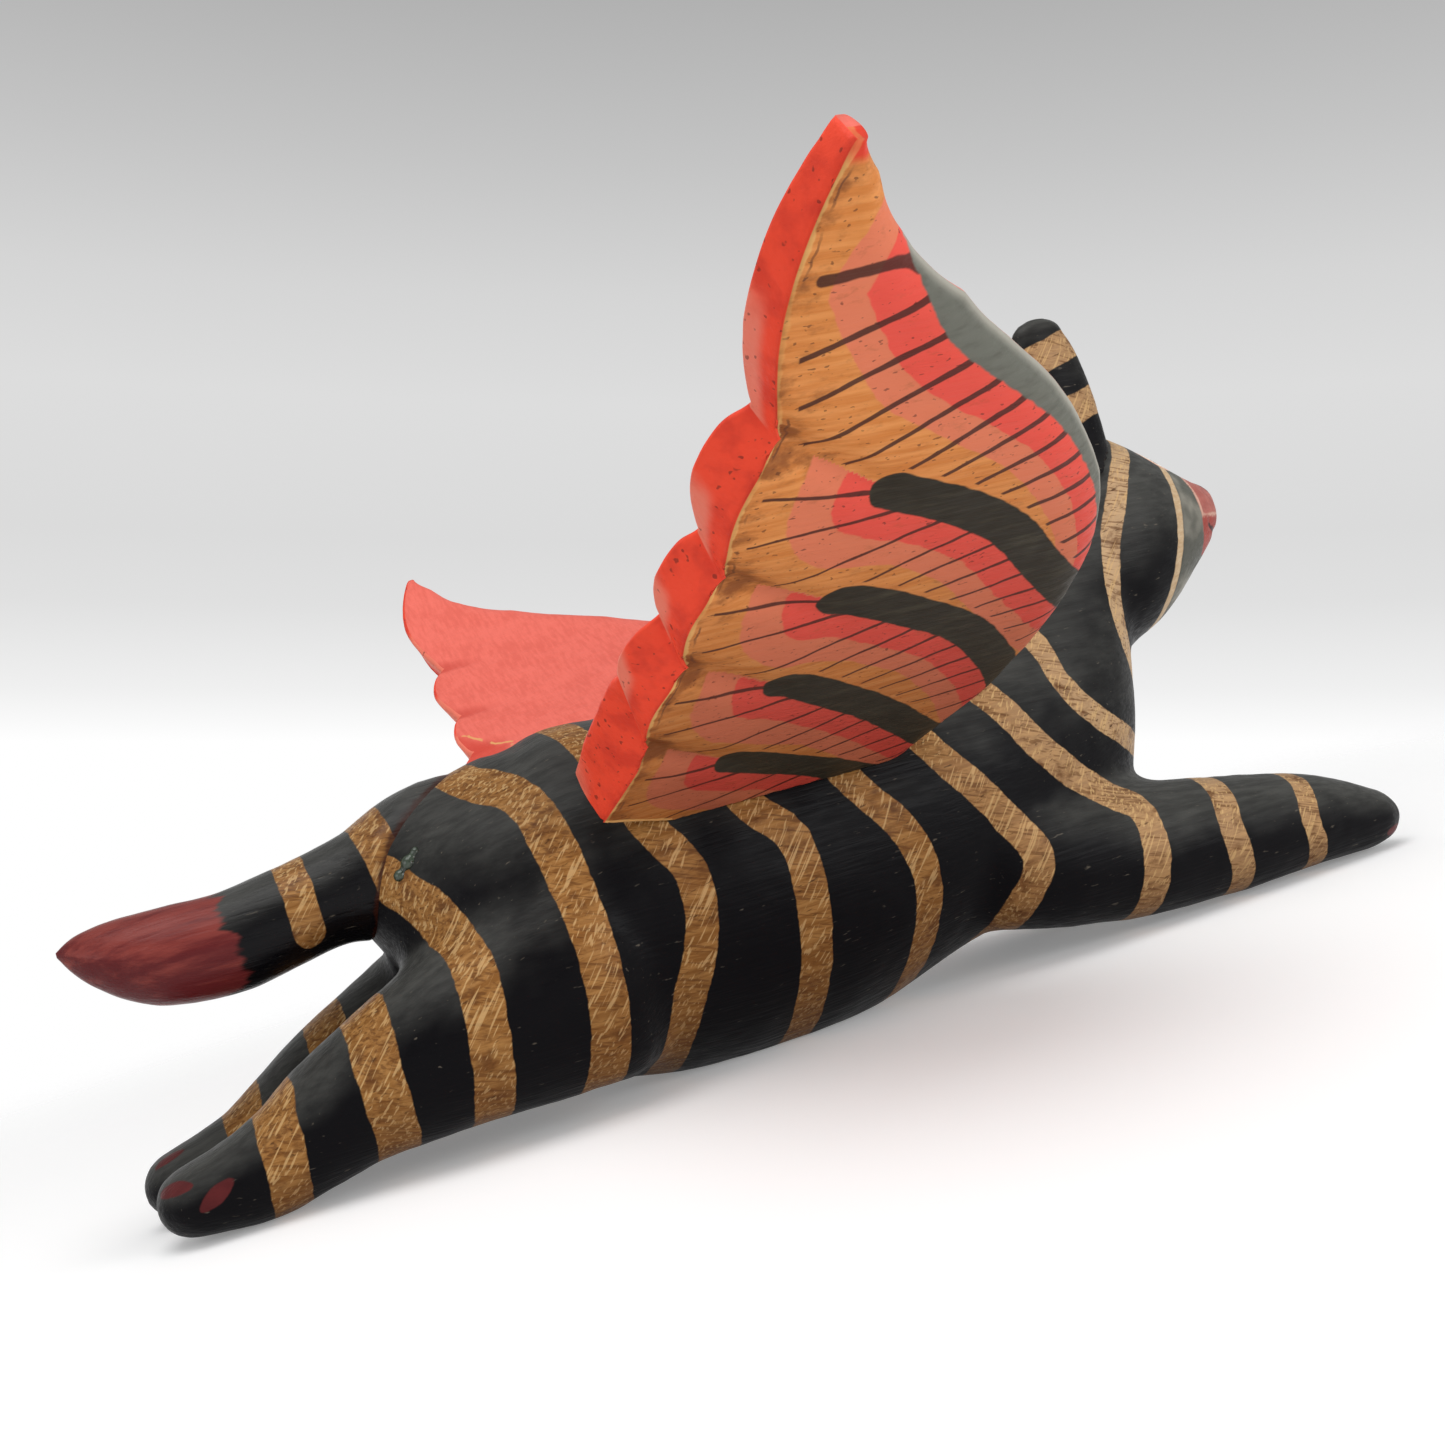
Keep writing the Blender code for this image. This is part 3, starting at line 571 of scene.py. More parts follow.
def tail_material():
    """Black paint with bare-wood stripes, and a maroon end laid on with a dry brush, painted lighter on its
    upper side as light falls there.
    """
    paint = Paint("painted_tail")
    colour = striped(paint, paint.drawn("stripe", 4, 0.5))
    # painted light: the maroon is lighter where it faces up and darker where it faces down
    lit = paint.ramp(paint.field("sky"), -0.6, 0.8, -0.10, 0.10)
    shade = paint.math('ADD', paint.noise((16, 2.2, 2.2), 4.0, 0.6), lit)
    maroon = paint.cover(MAROON_DARK, MAROON, shade, 0.36, 0.66)
    end = paint.wobbled(paint.drawn("red", (20, 4, 4), 6.0), (6, 1, 1), 1.6)
    colour = paint.fill(colour, maroon, end, 0.9)
    colour = paint.cover(colour, STAIN, paint.drawn("joint", 3, 0.6), 0.7, 0.2, 0.85)
    return paint.finish_brushed(colour, (0.22, 0.40), 0.14)


def ear_material():
    """Black paint with two bare-wood bands."""
    paint = Paint("painted_ear")
    colour = striped(paint, paint.drawn("stripe", 4, 0.4))
    return paint.finish_brushed(colour, (0.32, 0.50), 0.07)


def feather_colour(paint):
    """Return the underside's colour: red at each bar, then coral, then ochre towards the rear edge, darker
    near the rear rim and with painted shade in the grooves.
    """
    zone = paint.drawn("zone", (5, 2.5, 2.5), 0.10)
    grime_and_crease_shade = paint.noise((5, 3, 3), 4.0, 0.6)
    # darker near the rear rim
    grime_and_crease_shade = paint.math('ADD', grime_and_crease_shade, paint.ramp(paint.field("rim"), 9.0, 0.0, 0.0, 0.22))
    # painted shade in the grooves that run in from the notches
    grime_and_crease_shade = paint.math('ADD', grime_and_crease_shade, paint.ramp(paint.field("groove"), 0.2, 1.6, 0.0, 0.22))
    ochre = paint.cover(OCHRE, OCHRE_PALE, paint.noise((16, 1.2, 1.2), 4.0, 0.6), 0.35, 0.68)
    ochre = paint.cover(ochre, OCHRE_DARK, grime_and_crease_shade, 0.60, 0.90, 0.85)
    colour = paint.cover(CORAL, ochre, zone, 1.96, 2.04)
    colour = paint.cover(RED, colour, zone, 0.97, 1.03)
    colour = paint.cover(colour, OCHRE_DARK, paint.noise((3, 1.6, 1.6), 4.0, 0.65), 0.55, 0.75, 0.30)
    colour = paint.cover(colour, HATCH, paint.noise((1, 0.6, 0.6), 1.0), 0.68, 0.74, 0.6)
    return paint.cover(colour, OCHRE_DARK, grime_and_crease_shade, 0.72, 1.0, 0.5)


def hatched(paint, colour):
    """Draw the hatch lines and the tip's line, darken the root and redden the tip."""
    side = paint.math('ABSOLUTE', paint.drawn("hatch_side", (4, 2, 2), 0.22))
    line = paint.math('SUBTRACT', side, paint.field("hatch_width"))
    near = paint.ramp(paint.field("hatch"), 0.9, 0.6)
    colour = paint.mix(paint.math('MULTIPLY', paint.ramp(line, 0.10, -0.10, 0.0, 0.92), near), colour, HATCH)
    colour = paint.fill(colour, HATCH, paint.drawn("tip_line", (3, 2, 2), 0.25), 0.15, 0.92)
    colour = paint.cover(colour, ROOT_SHADE, paint.field("along"), 95.0, 10.0, 0.45)
    return paint.cover(colour, EDGE_DEEP, paint.field("along"), *TIP_RED)


def barred(paint, colour):
    """Paint the grey leading band, with a pale rim that is partly wear and partly painted highlight, and the
    dark bars.
    """
    rubbed = paint.noise((6, 1.2, 1.2))
    grey = paint.cover(BAND, BAR, rubbed, 0.40, 0.80, 0.30)
    # pale rim on the rounded leading edge: partly wear, partly painted highlight
    grey = paint.cover(grey, BAND_WORN_HIGHLIGHT, paint.field("height"), -1.7, -0.5, 0.8)
    colour = paint.fill(colour, grey, paint.drawn("band", (4, 2, 2), 0.4), 0.2)
    dark = paint.cover(BAR, BAR_RUBBED, rubbed, 0.45, 0.80, 0.7)
    return paint.fill(colour, dark, paint.drawn("bar", (4, 2, 2), 0.3), 0.18)


def underside(paint):
    """Return the painted pattern of the wing's underside, with a worn and cracked rear rim."""
    colour = barred(paint, hatched(paint, feather_colour(paint)))
    rim = paint.drawn("rim", (5, 3, 3), 0.9)
    broken = paint.noise((9, 7, 7), 2.0)
    crack = paint.ramp(paint.math('ABSOLUTE', paint.math('SUBTRACT', rim, 1.6)), 0.26, 0.08)
    crack = paint.math('MULTIPLY', crack, paint.ramp(broken, 0.50, 0.60, 0.0, 0.7))
    worn = paint.math('MULTIPLY', paint.ramp(rim, 1.0, 0.7), paint.ramp(broken, 0.35, 0.60, 0.25, 0.8))
    return paint.mix(worn, paint.mix(crack, colour, WORN_LINE), WORN)


def edge_colour(paint):
    """Return the red of the rear edge, with a painted pink sheen on the facets that turn down, and dark pits.
    """
    edge = paint.cover(EDGE_RED, EDGE_DEEP, paint.noise(4), 0.42, 0.70)
    # painted sheen: paler pink on the root-ward part of each feather's end, which turns down
    sheen_facet = paint.ramp(paint.drawn("share", 4, 0.08), 0.55, 0.36, 0.0, 0.85)
    sheen_facet = paint.math('MULTIPLY', sheen_facet, paint.ramp(paint.field("height"), -1.2, 0.6))
    edge = paint.mix(sheen_facet, edge, EDGE_SHEEN_PINK)
    return paint.cover(edge, HATCH, paint.noise(1.1, 1.0), 0.68, 0.74, 0.6)


def upper_colour(paint):
    """Return the brushed coral of the upper face: painted shade in the furrows, and a bevel in deep red and
    painted shade with a worn rim.
    """
    patch = paint.noise(9, 4.0, 0.6)
    strokes = paint.noise((0.8, 4, 4), 4.0, 0.6)
    strokes = paint.math('ADD', strokes, paint.ramp(patch, 0.35, 0.65, -0.08, 0.08))
    top = paint.cover(TOP_DEEP, TOP_CORAL, strokes, 0.30, 0.70)
    top = paint.cover(top, TOP_SHADE, paint.field("furrow"), 0.15, 0.9, 0.6)
    bevel = paint.drawn("bevel", 4, 1.1)
    # painted shade: the bevel is laid in deep red mixed with the shade colour
    top = paint.cover(top, paint.mix(patch, EDGE_DEEP, TOP_SHADE), bevel, 0.5, -2.0, 0.7)
    worn = paint.ramp(paint.math('ABSOLUTE', bevel), 0.45, 0.2, 0.0, 0.8)
    return paint.mix(paint.math('MULTIPLY', worn, paint.ramp(paint.noise(4, 2.0), 0.48, 0.58)), top, WORN)


def wing_material():
    """The pattern below, brushed coral above, and a red rear edge."""
    paint = Paint("painted_wing")
    colour = paint.fill(upper_colour(paint), underside(paint), paint.field("height"), 0.15)
    colour = paint.cover(colour, WORN, paint.drawn("root", 3, 0.5), 1.1, 0.6, 0.85)
    colour = paint.fill(colour, edge_colour(paint), paint.field("edge"), 0.15)
    return paint.finish_brushed(colour, (0.44, 0.62), 0.16)


def peg_material():
    """Whittled bare wood."""
    paint = Paint("whittled_wood")
    grain = paint.noise((1, 9, 3), 4.0, 0.6)
    colour = paint.cover(WOOD_MID, PEG_WOOD, grain, 0.35, 0.70)
    return paint.finish(colour, grain, (0.55, 0.72), 0.25, 0.0003, 0.6)


def glue_material():
    """Dark glossy glue."""
    paint = Paint("dark_glue")
    swirl = paint.noise(1.5, 2.0)
    colour = paint.cover(GLUE, GLUE_DARK, swirl, 0.35, 0.7)
    return paint.finish(colour, swirl, (0.10, 0.22), 0.5, 0.0002, 0.4)


def floor_material():
    """White, with a faint own light for the camera, fading out into the backdrop."""
    material = bpy.data.materials.new("floor")
    nodes = Nodes(material)
    nodes.tree.nodes.clear()
    white = nodes.add("ShaderNodeBsdfDiffuse", {"Color": FLOOR_GREY})
    glow = nodes.math('MULTIPLY', nodes.seen_directly(), FLOOR_GLOW)
    glow = nodes.add("ShaderNodeEmission", {"Strength": glow})
    both = nodes.add("ShaderNodeAddShader", {0: white.outputs[0], 1: glow.outputs[0]})
    place = nodes.add("ShaderNodeTexCoord").outputs["Object"]
    reach = nodes.add("ShaderNodeVectorMath", {0: place}, operation='LENGTH').outputs["Value"]
    clear = nodes.add("ShaderNodeBsdfTransparent")
    surface = nodes.choose(nodes.ramp(reach, *FLOOR_FADE), both, clear)
    nodes.add("ShaderNodeOutputMaterial", {"Surface": surface})
    return material


def camera_axes():
    """Return the camera's right, up and back directions."""
    azimuth = math.radians(CAMERA_AZIMUTH)
    elevation = math.radians(CAMERA_ELEVATION)
    roll = math.radians(CAMERA_ROLL)
    level = Vector((math.cos(azimuth), math.sin(azimuth), 0))
    back = Vector((math.sin(azimuth) * math.cos(elevation), -math.cos(azimuth) * math.cos(elevation),
                   math.sin(elevation)))
    upright = back.cross(level)
    right = math.cos(roll) * level + math.sin(roll) * upright
    up = math.cos(roll) * upright - math.sin(roll) * level
    return right, up, back


def make_world():
    """A grey backdrop that pales downwards, and even soft light."""
    world = bpy.data.worlds.new("studio")
    bpy.context.scene.world = world
    nodes = Nodes(world)
    nodes.tree.nodes.clear()
    direction = nodes.add("ShaderNodeTexCoord").outputs["Generated"]
    height = nodes.add("ShaderNodeVectorMath", {0: direction, 1: camera_axes()[1]}, operation='DOT_PRODUCT')
    greys = nodes.add("ShaderNodeValToRGB", {"Fac": height.outputs["Value"]})
    stops = greys.color_ramp.elements
    while len(stops) < len(BACKDROP_GREYS):
        stops.new(1.0)
    for stop, (place, grey) in zip(stops, BACKDROP_GREYS):
        stop.position = place
        stop.color = linear(grey, grey, grey)
    backdrop = nodes.add("ShaderNodeBackground", {"Color": greys.outputs["Color"]})
    light = nodes.add("ShaderNodeBackground", {"Color": (1, 1, 1, 1), "Strength": WORLD_LEVEL})
    nodes.add("ShaderNodeOutputWorld", {"Surface": nodes.choose(nodes.seen_directly(), light, backdrop)})


def add_object(name, data):
    """Put data into the scene as a new object."""
    item = bpy.data.objects.new(name, data)
    bpy.context.collection.objects.link(item)
    return item


def mesh_of(shape, name):
    """Turn a bmesh into a mesh."""
    mesh = bpy.data.meshes.new(name)
    shape.to_mesh(mesh)
    shape.free()
    return mesh


def make_camera():
    right, up, back = camera_axes()
    data = bpy.data.cameras.new("camera")
    data.sensor_width = SENSOR
    data.lens = SENSOR * FOCAL_PIXELS / PHOTO_SIDE
    data.shift_x = CAMERA_SHIFT_X
    data.shift_y = CAMERA_SHIFT_Y
    data.clip_start = CAMERA_NEAREST
    camera = add_object("camera", data)
    turn = Matrix((right, up, back)).transposed().to_4x4()
    camera.matrix_world = Matrix.Translation(CAMERA_TARGET + back * CAMERA_DISTANCE) @ turn
    bpy.context.scene.camera = camera


def make_lamps():
    for name, (place, width, power) in LAMPS.items():
        data = bpy.data.lights.new(name, 'AREA')
        data.shape = 'DISK'
        data.size = width
        data.energy = power
        lamp = add_object(name, data)
        lamp.location = place
        lamp.rotation_euler = (CAMERA_TARGET - Vector(place)).to_track_quat('-Z', 'Y').to_euler()


def make_floor():
    shape = bmesh.new()
    bmesh.ops.create_circle(shape, cap_ends=True, segments=FLOOR_SIDES, radius=FLOOR_RADIUS)
    mesh = mesh_of(shape, "floor")
    mesh.materials.append(floor_material())
    floor = add_object("floor", mesh)


def make_piece(name, mesh, material, body, node=None):
    """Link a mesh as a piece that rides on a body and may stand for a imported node."""
    mesh.name = name
    mesh.shade_smooth()
    mesh.materials.clear()
    mesh.materials.append(material)
    piece = add_object(name, mesh)
    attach(piece, body)
    if node:
        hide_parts(node)
    return piece


def worked_out(mesh, *settings):
    """Return a mesh with a list of modifiers applied: each a kind and its values."""
    item = add_object("blank", mesh)
    for kind, values in settings:
        modifier = item.modifiers.new(kind, kind)
        for key, value in values.items():
            setattr(modifier, key, value)
    graph = bpy.context.evaluated_depsgraph_get()
    result = bpy.data.meshes.new_from_object(item.evaluated_get(graph), depsgraph=graph)
    bpy.data.objects.remove(item, do_unlink=True)
    return result


def eased_copy(mesh, voxel, steps):
    """Return a finer, smoother copy of a mesh."""
    remesh = ('REMESH', {"mode": 'VOXEL', "voxel_size": voxel})
    ease = ('SMOOTH', {"factor": EASE_FACTOR, "iterations": steps})
    return worked_out(mesh, remesh, ease)


def facing_out(mesh):
    """Turn every face of a closed mesh to point out."""
    shape = bmesh.new()
    shape.from_mesh(mesh)
    bmesh.ops.recalc_face_normals(shape, faces=shape.faces)
    shape.to_mesh(mesh)
    shape.free()
    return mesh


def skin(rings, name):
    """Return a closed mesh over an array of rings of points."""
    count, sides, _ = rings.shape
    grid = np.arange(count * sides).reshape(count, sides)
    after = np.roll(grid, -1, axis=1)
    walls = np.stack((grid[:-1], after[:-1], after[1:], grid[1:]), axis=-1).reshape(-1, 4)
    faces = walls.tolist() + [grid[0].tolist(), grid[-1].tolist()]
    mesh = bpy.data.meshes.new(name)
    mesh.from_pydata(rings.reshape(-1, 3).tolist(), [], faces)
    return facing_out(mesh)


def vertex_values(source, key, width):
    """Read a vertex property of a mesh as an array."""
    values = np.empty(len(source) * width, dtype=np.float32)
    source.foreach_get(key, values)
    return values.reshape(-1, width).astype(float)


def positions(mesh):
    return vertex_values(mesh.vertices, "co", 3)


def normals(mesh):
    return vertex_values(mesh.vertex_normals, "vector", 3)


def set_positions(mesh, values):
    mesh.vertices.foreach_set("co", values.astype(np.float32).ravel())
    mesh.update()


def push(mesh, amounts):
    """Move every vertex of a mesh along its normal."""
    set_positions(mesh, positions(mesh) + normals(mesh) * amounts[:, None])


def store(mesh, **fields):
    """Keep named numbers on a mesh, one per vertex, for its material."""
    for name, values in fields.items():
        layer = mesh.attributes.new(name, 'FLOAT', 'POINT')
        layer.data.foreach_set("value", np.asarray(values, dtype=np.float32))


def noise_at(points, size, shift=0.0):
    """Return a smooth noise from -1 to 1 at each point."""
    return np.array([noise.noise(Vector(point) / size + Vector((shift, shift, shift))) for point in points])


def carve(mesh):
    """Give a surface the shallow facets and nicks of a knife."""
    places = positions(mesh)
    nicks = noise_at(places, NICK_SIZE, NICK_SHIFT)
    push(mesh, FACET_DEPTH * noise_at(places, FACET_SIZE) + NICK_DEPTH * nicks)


def read_table(table, value):
    """Read a table of pairs, with straight lines between them."""
    return np.interp(value, *np.transpose(table))


def spline(points, t):
    """Read a smooth curve through the points at t, where each point is one unit on from the last."""
    last = len(points) - 1
    index = min(int(t), last - 1)
    part = t - index
    before = np.asarray(points[max(index - 1, 0)])
    here = np.asarray(points[index])
    there = np.asarray(points[index + 1])
    after = np.asarray(points[min(index + 2, last)])
    leaving = (there - before) / 2
    arriving = (after - here) / 2
    cubed = (2 * here - 2 * there + leaving + arriving) * part ** 3
    squared = (3 * there - 3 * here - 2 * leaving - arriving) * part ** 2
    return here + leaving * part + squared + cubed


def smooth_line(points, steps=LINE_STEPS):
    """Return places on a smooth curve through the points, with even steps from each point to the next."""
    return np.array([spline(points, i / steps) for i in range((len(points) - 1) * steps + 1)])


def segment_distance(points, first, last):
    """Return each point's distance to a straight segment."""
    first = np.asarray(first, dtype=float)
    along = np.asarray(last, dtype=float) - first
    part = np.clip((points - first) @ along / (along @ along), 0.0, 1.0)
    return np.linalg.norm(points - first - part[:, None] * along, axis=1)


def line_distance(points, line):
    """Return each point's distance to a line of several segments."""
    return np.min([segment_distance(points, a, b) for a, b in zip(line, line[1:])], axis=0)


def stripe_field(places, stripes):
    """Return the distance to the nearest edge of a stripe, below zero inside; millimetres."""
    side_view = places[:, (0, 2)]
    fields = [line_distance(side_view, smooth_line(stripe.line)) - stripe.half_width for stripe in stripes]
    return np.min(fields, axis=0)


def front_light_share(places):
    """Return how much painted light from the front each place gets, from 0 to 1."""
    return np.interp(places[:, 0], FRONT_X, (0.0, 1.0)) * np.interp(places[:, 2], FRONT_Z, (FRONT_LOW, 1.0))


def leg_shifted(places):
    """Return the places with the left hind leg, whose stripes sit further back, moved forward."""
    shifted = places.copy()
    left = np.clip(places[:, 1] / LEFT_LEG_BLEND, 0.0, 1.0)
    shifted[:, 0] += left * np.interp(places[:, 0], LEFT_LEG_X, (LEFT_LEG_SHIFT, 0.0))
    return shifted


def mirrored(places):
    """Fold the right side onto the left side."""
    folded = places.copy()
    folded[:, 1] = np.abs(folded[:, 1])
    return folded


def muzzle_field(places):
    """Return the distance to the pale face line, below zero on its nose side; millimetres."""
    line = smooth_line(CREAM_STRIPES[0].line)[::-1, ::-1]
    return np.maximum(read_table(line, places[:, 2]) - places[:, 0], MUZZLE_LOWEST - places[:, 2])


def snout_field(places):
    """Return the distance to the edge of the painted snout, below zero inside; millimetres."""
    edge = SNOUT_X + SNOUT_LEAN * (LIP_HEIGHT - places[:, 2]) - places[:, 0]
    return np.max([edge, SNOUT_HEIGHTS[0] - places[:, 2], places[:, 2] - SNOUT_HEIGHTS[1]], axis=0)


def nose_field(folded):
    """Return the distance to the edge of the nose pad, below zero inside; millimetres."""
    x, y, z = folded.T
    edges = [y - read_table(NOSE_PAD, z), NOSE_PAD[0][0] - z, z - NOSE_PAD[-1][0], MUZZLE_BACK - x]
    return np.max(edges, axis=0)


def nostril_field(folded):
    """Return the distance to the edge of the nostril, below zero inside; millimetres."""
    off = (folded[:, 1:] - NOSTRIL) / NOSTRIL_HALF_SIZES
    field = (np.linalg.norm(off, axis=1) - 1) * NOSTRIL_HALF_SIZES[1]
    return np.maximum(field, MUZZLE_BACK - folded[:, 0])


def mouth_field(folded):
    """Return the distance above the line of the mouth, or a large one off the front; millimetres."""
    x, y, z = folded.T
    on_front = (y < MOUTH[-1][0]) & (x > MUZZLE_BACK)
    return np.where(on_front, z - read_table(MOUTH, y), FAR)


def claw_field(folded):
    """Return the distance to the edge of the nearest almond-shaped claw; millimetres."""
    fields = []
    for first, last in np.array(CLAWS):
        off_middle = np.linalg.norm(folded - (first + last) / 2, axis=1)
        reach = np.linalg.norm(last - first) / 2 + CLAW_TAPER
        width = CLAW_RADIUS * np.clip(1.0 - (off_middle / reach) ** 2, 0.0, 1.0)
        fields.append(segment_distance(folded, first, last) - width)
    return np.min(fields, axis=0)


def eye_fields(folded):
    """Return the distances to the edges of the eye's rim, its white and its iris; millimetres."""
    offset = folded - EYE
    along = offset[:, 0] * EYE_SLOPE[0] + offset[:, 2] * EYE_SLOPE[1]
    across = np.sqrt(np.maximum((offset ** 2).sum(axis=1) - along ** 2, 0.0))
    reach = np.clip(1.0 - (along / EYE_HALF_LENGTH) ** 2, -1.0, 1.0)
    white = np.maximum(across - EYE_HALF_HEIGHT * reach, np.abs(along) - EYE_HALF_LENGTH)
    iris = np.linalg.norm(offset, axis=1) - IRIS_RADIUS
    return white - EYE_RIM_WIDTH, white, iris


def store_body_fields(mesh, tail_tree):
    """Store every painted field of the body, in millimetres."""
    places = positions(mesh) * MM
    folded = mirrored(places)
    snout = snout_field(places)
    above_lip = places[:, 2] - LIP_HEIGHT
    lip_line = np.max([snout, np.abs(above_lip) - PALE_HALF_WIDTH, LIP_INNER - folded[:, 1]], axis=0)
    pad_rim = np.maximum(np.abs(snout + PALE_INSET) - PALE_HALF_WIDTH, -above_lip)
    rim, white, iris = eye_fields(folded)
    store(mesh, sky=normals(mesh)[:, 2], front=front_light_share(places),
          stripe=stripe_field(leg_shifted(places), BODY_STRIPES), cream=stripe_field(places, CREAM_STRIPES),
          muzzle=muzzle_field(places), snout=snout, lip=np.maximum(snout, above_lip),
          pale=np.minimum(lip_line, pad_rim), nose=nose_field(folded), nostril=nostril_field(folded),
          mouth=mouth_field(folded), claw=claw_field(folded), eye_rim=rim, eye=white, iris=iris,
          joint=gaps_to(mesh, tail_tree, JOINT_REACH) * MM)


def carve_face(mesh):
    """Raise the nose pad, and cut the nostrils and the mouth."""
    folded = mirrored(positions(mesh) * MM)
    lift = NOSE_LIFT * np.clip(0.5 - nose_field(folded) / NOSE_SOFT, 0.0, 1.0)
    dent = NOSTRIL_DEPTH * np.clip(0.5 - nostril_field(folded), 0.0, 1.0)
    groove = MOUTH_DEPTH * np.exp(-(mouth_field(folded) / MOUTH_SPREAD) ** 2)
    push(mesh, lift - dent - groove)


def cylinder(shape, middle, axis, radius, length, segments):
    """Add a cylinder to a bmesh."""
    turn = Vector((0, 0, 1)).rotation_difference(axis).to_matrix().to_4x4()
    bmesh.ops.create_cone(shape, cap_ends=True, segments=segments, radius1=radius, radius2=radius,
                          depth=length, matrix=Matrix.Translation(middle) @ turn)


def wing_pegs():
    """Return the middle and the outward axis of each wing peg."""
    pegs = []
    for side, pose in WING_POSES.items():
        slope = math.radians(pose.root_rise)
        axis = Vector((0, SIDE_SIGNS[side] * math.cos(slope), math.sin(slope)))
        for place in ("front", "rear"):
            low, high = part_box(f"{side}_wing_{place}_peg")
            pegs.append(((low + high) / 2, axis))
    return pegs


def plugged_body():
    """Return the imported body's mesh with its wing peg holes filled to just below the flank."""
    shape = bmesh.new()
    shape.from_mesh(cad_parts["body"].data)
    length = PEG_HOLE_DEPTH + PEG_HOLE_RADIUS - PLUG_COVER
    for middle, axis in wing_pegs():
        cylinder(shape, middle - axis * (PLUG_COVER + length / 2), axis, PLUG_RADIUS, length, PLUG_SIDES)
    return mesh_of(shape, "plugged")


def drilled(mesh):
    """Drill the wing peg holes again, with crisp rims."""
    shape = bmesh.new()
    for middle, axis in wing_pegs():
        cylinder(shape, middle, axis, PEG_HOLE_RADIUS, 2 * PEG_HOLE_DEPTH, PEG_HOLE_SIDES)
    drill = add_object("drill", mesh_of(shape, "drill"))
    result = worked_out(mesh, ('BOOLEAN', {"object": drill, "operation": 'DIFFERENCE', "solver": 'EXACT'}))
    bpy.data.objects.remove(drill, do_unlink=True)
    return result


def surface_tree(mesh):
    """Return a tree that finds the nearest place on a mesh."""
    return BVHTree.FromPolygons([vertex.co for vertex in mesh.vertices],
                                [polygon.vertices for polygon in mesh.polygons])


def gaps_to(mesh, tree, reach):
    """Return each vertex's gap to another surface, at most the reach and zero inside it."""
    gaps = []
    for vertex in mesh.vertices:
        place, normal, _, gap = tree.find_nearest(vertex.co, reach)
        if place is None:
            gaps.append(reach)
        else:
            gaps.append(gap if (vertex.co - place).dot(normal) > 0 else 0.0)
    return np.array(gaps)


def run_together(mesh, tree):
    """Swell a surface where it nears another one, so that the two flow into each other."""
    gaps = gaps_to(mesh, tree, FILLET_REACH)
    push(mesh, (FILLET_REACH - gaps) ** 2 / (4 * FILLET_REACH))


def keep_above_floor(mesh):
    """Plane off what the carving pushed below the floor."""
    places = positions(mesh)
    places[:, 2] = np.maximum(places[:, 2], 0.0)
    set_positions(mesh, places)


def raise_rump(mesh):
    """Round the back off where it falls towards the tail."""
    places = positions(mesh)
    near = np.exp(-((places[:, 0] - RUMP_X) / RUMP_REACH) ** 2)
    places[:, 2] += RUMP_RISE * near * np.clip(normals(mesh)[:, 2], 0.0, 1.0)
    set_positions(mesh, places)


def make_body():
    mesh = eased_copy(plugged_body(), BODY_VOXEL, BODY_EASE)
    tail_tree = surface_tree(tail_mesh())
    run_together(mesh, tail_tree)
    raise_rump(mesh)
    carve(mesh)
    carve_face(mesh)
    keep_above_floor(mesh)
    mesh = drilled(mesh)
    store_body_fields(mesh, tail_tree)
    return make_piece("carved_body", mesh, body_material(), "body", "body")


def tail_mesh():
    """Return the tail as a smooth skin over its sections."""
    turn = np.linspace(0, 2 * np.pi, TAIL_SIDES, endpoint=False)
    rings = []
    for x, z, half_width, rise, drop in smooth_line(TAIL, TAIL_STEPS):
        ridge = TAIL_RIDGE * np.interp(-x, -np.array(TAIL_RIDGE_X), (0, 1))
        height = np.where(np.sin(turn) > 0, rise, drop) * np.sin(turn) * np.abs(np.sin(turn)) ** ridge
        rings.append(np.stack((np.full(TAIL_SIDES, x), half_width * np.cos(turn), z + height), axis=1))
    return skin(np.array(rings), "tail")


def make_tail(body_tree):
    mesh = tail_mesh()
    run_together(mesh, body_tree)
    carve(mesh)
    places = positions(mesh) * MM
    store(mesh, sky=normals(mesh)[:, 2], front=np.zeros(len(places)),
          stripe=stripe_field(places, TAIL_STRIPES), red=places[:, 0] - TAIL_RED_END,
          joint=gaps_to(mesh, body_tree, JOINT_REACH) * MM)
    make_piece("carved_tail", mesh, tail_material(), "body", "tail")


def make_ears():
    material = ear_material()
    for side in SIDE_SIGNS:
        node = side + "_ear"
        mesh = eased_copy(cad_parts[node].data.copy(), SMALL_VOXEL, SMALL_EASE)
        carve(mesh)
        places = positions(mesh) * MM
        # the ears get half of the painted light from the front
        store(mesh, sky=normals(mesh)[:, 2], front=np.full(len(places), EAR_FRONT),
              stripe=stripe_field(places, EAR_STRIPES))
        make_piece("carved_" + node, mesh, material, "body", node)


def leading_table():
    """Return the leading edge as fine lists of distances and forward places."""
    count = len(LEADING_EDGE) - 1
    steps = np.arange(count * LEADING_STEPS + 1) / LEADING_STEPS
    distances = np.interp(steps, range(count + 1), [distance for distance, _ in LEADING_EDGE])
    return distances, smooth_line(LEADING_EDGE, LEADING_STEPS)[:, 1]


LEADING_TABLE = leading_table()


def rear_edge(station, scallops):
    """Return the distance and the forward place of a scalloped rear edge at each station."""
    distance, x = (np.interp(station, NOTCH_STATIONS, row) for row in np.transpose(scallops.notches))
    for first, last, swell, lean in zip(NOTCH_STATIONS, NOTCH_STATIONS[1:], scallops.swells, scallops.leans):
        part = np.clip((station - first) / (last - first), 0.0, 1.0)
        x = x - swell * np.abs(np.sin(np.pi * part ** lean)) ** FEATHER_FULLNESS
    return distance, x


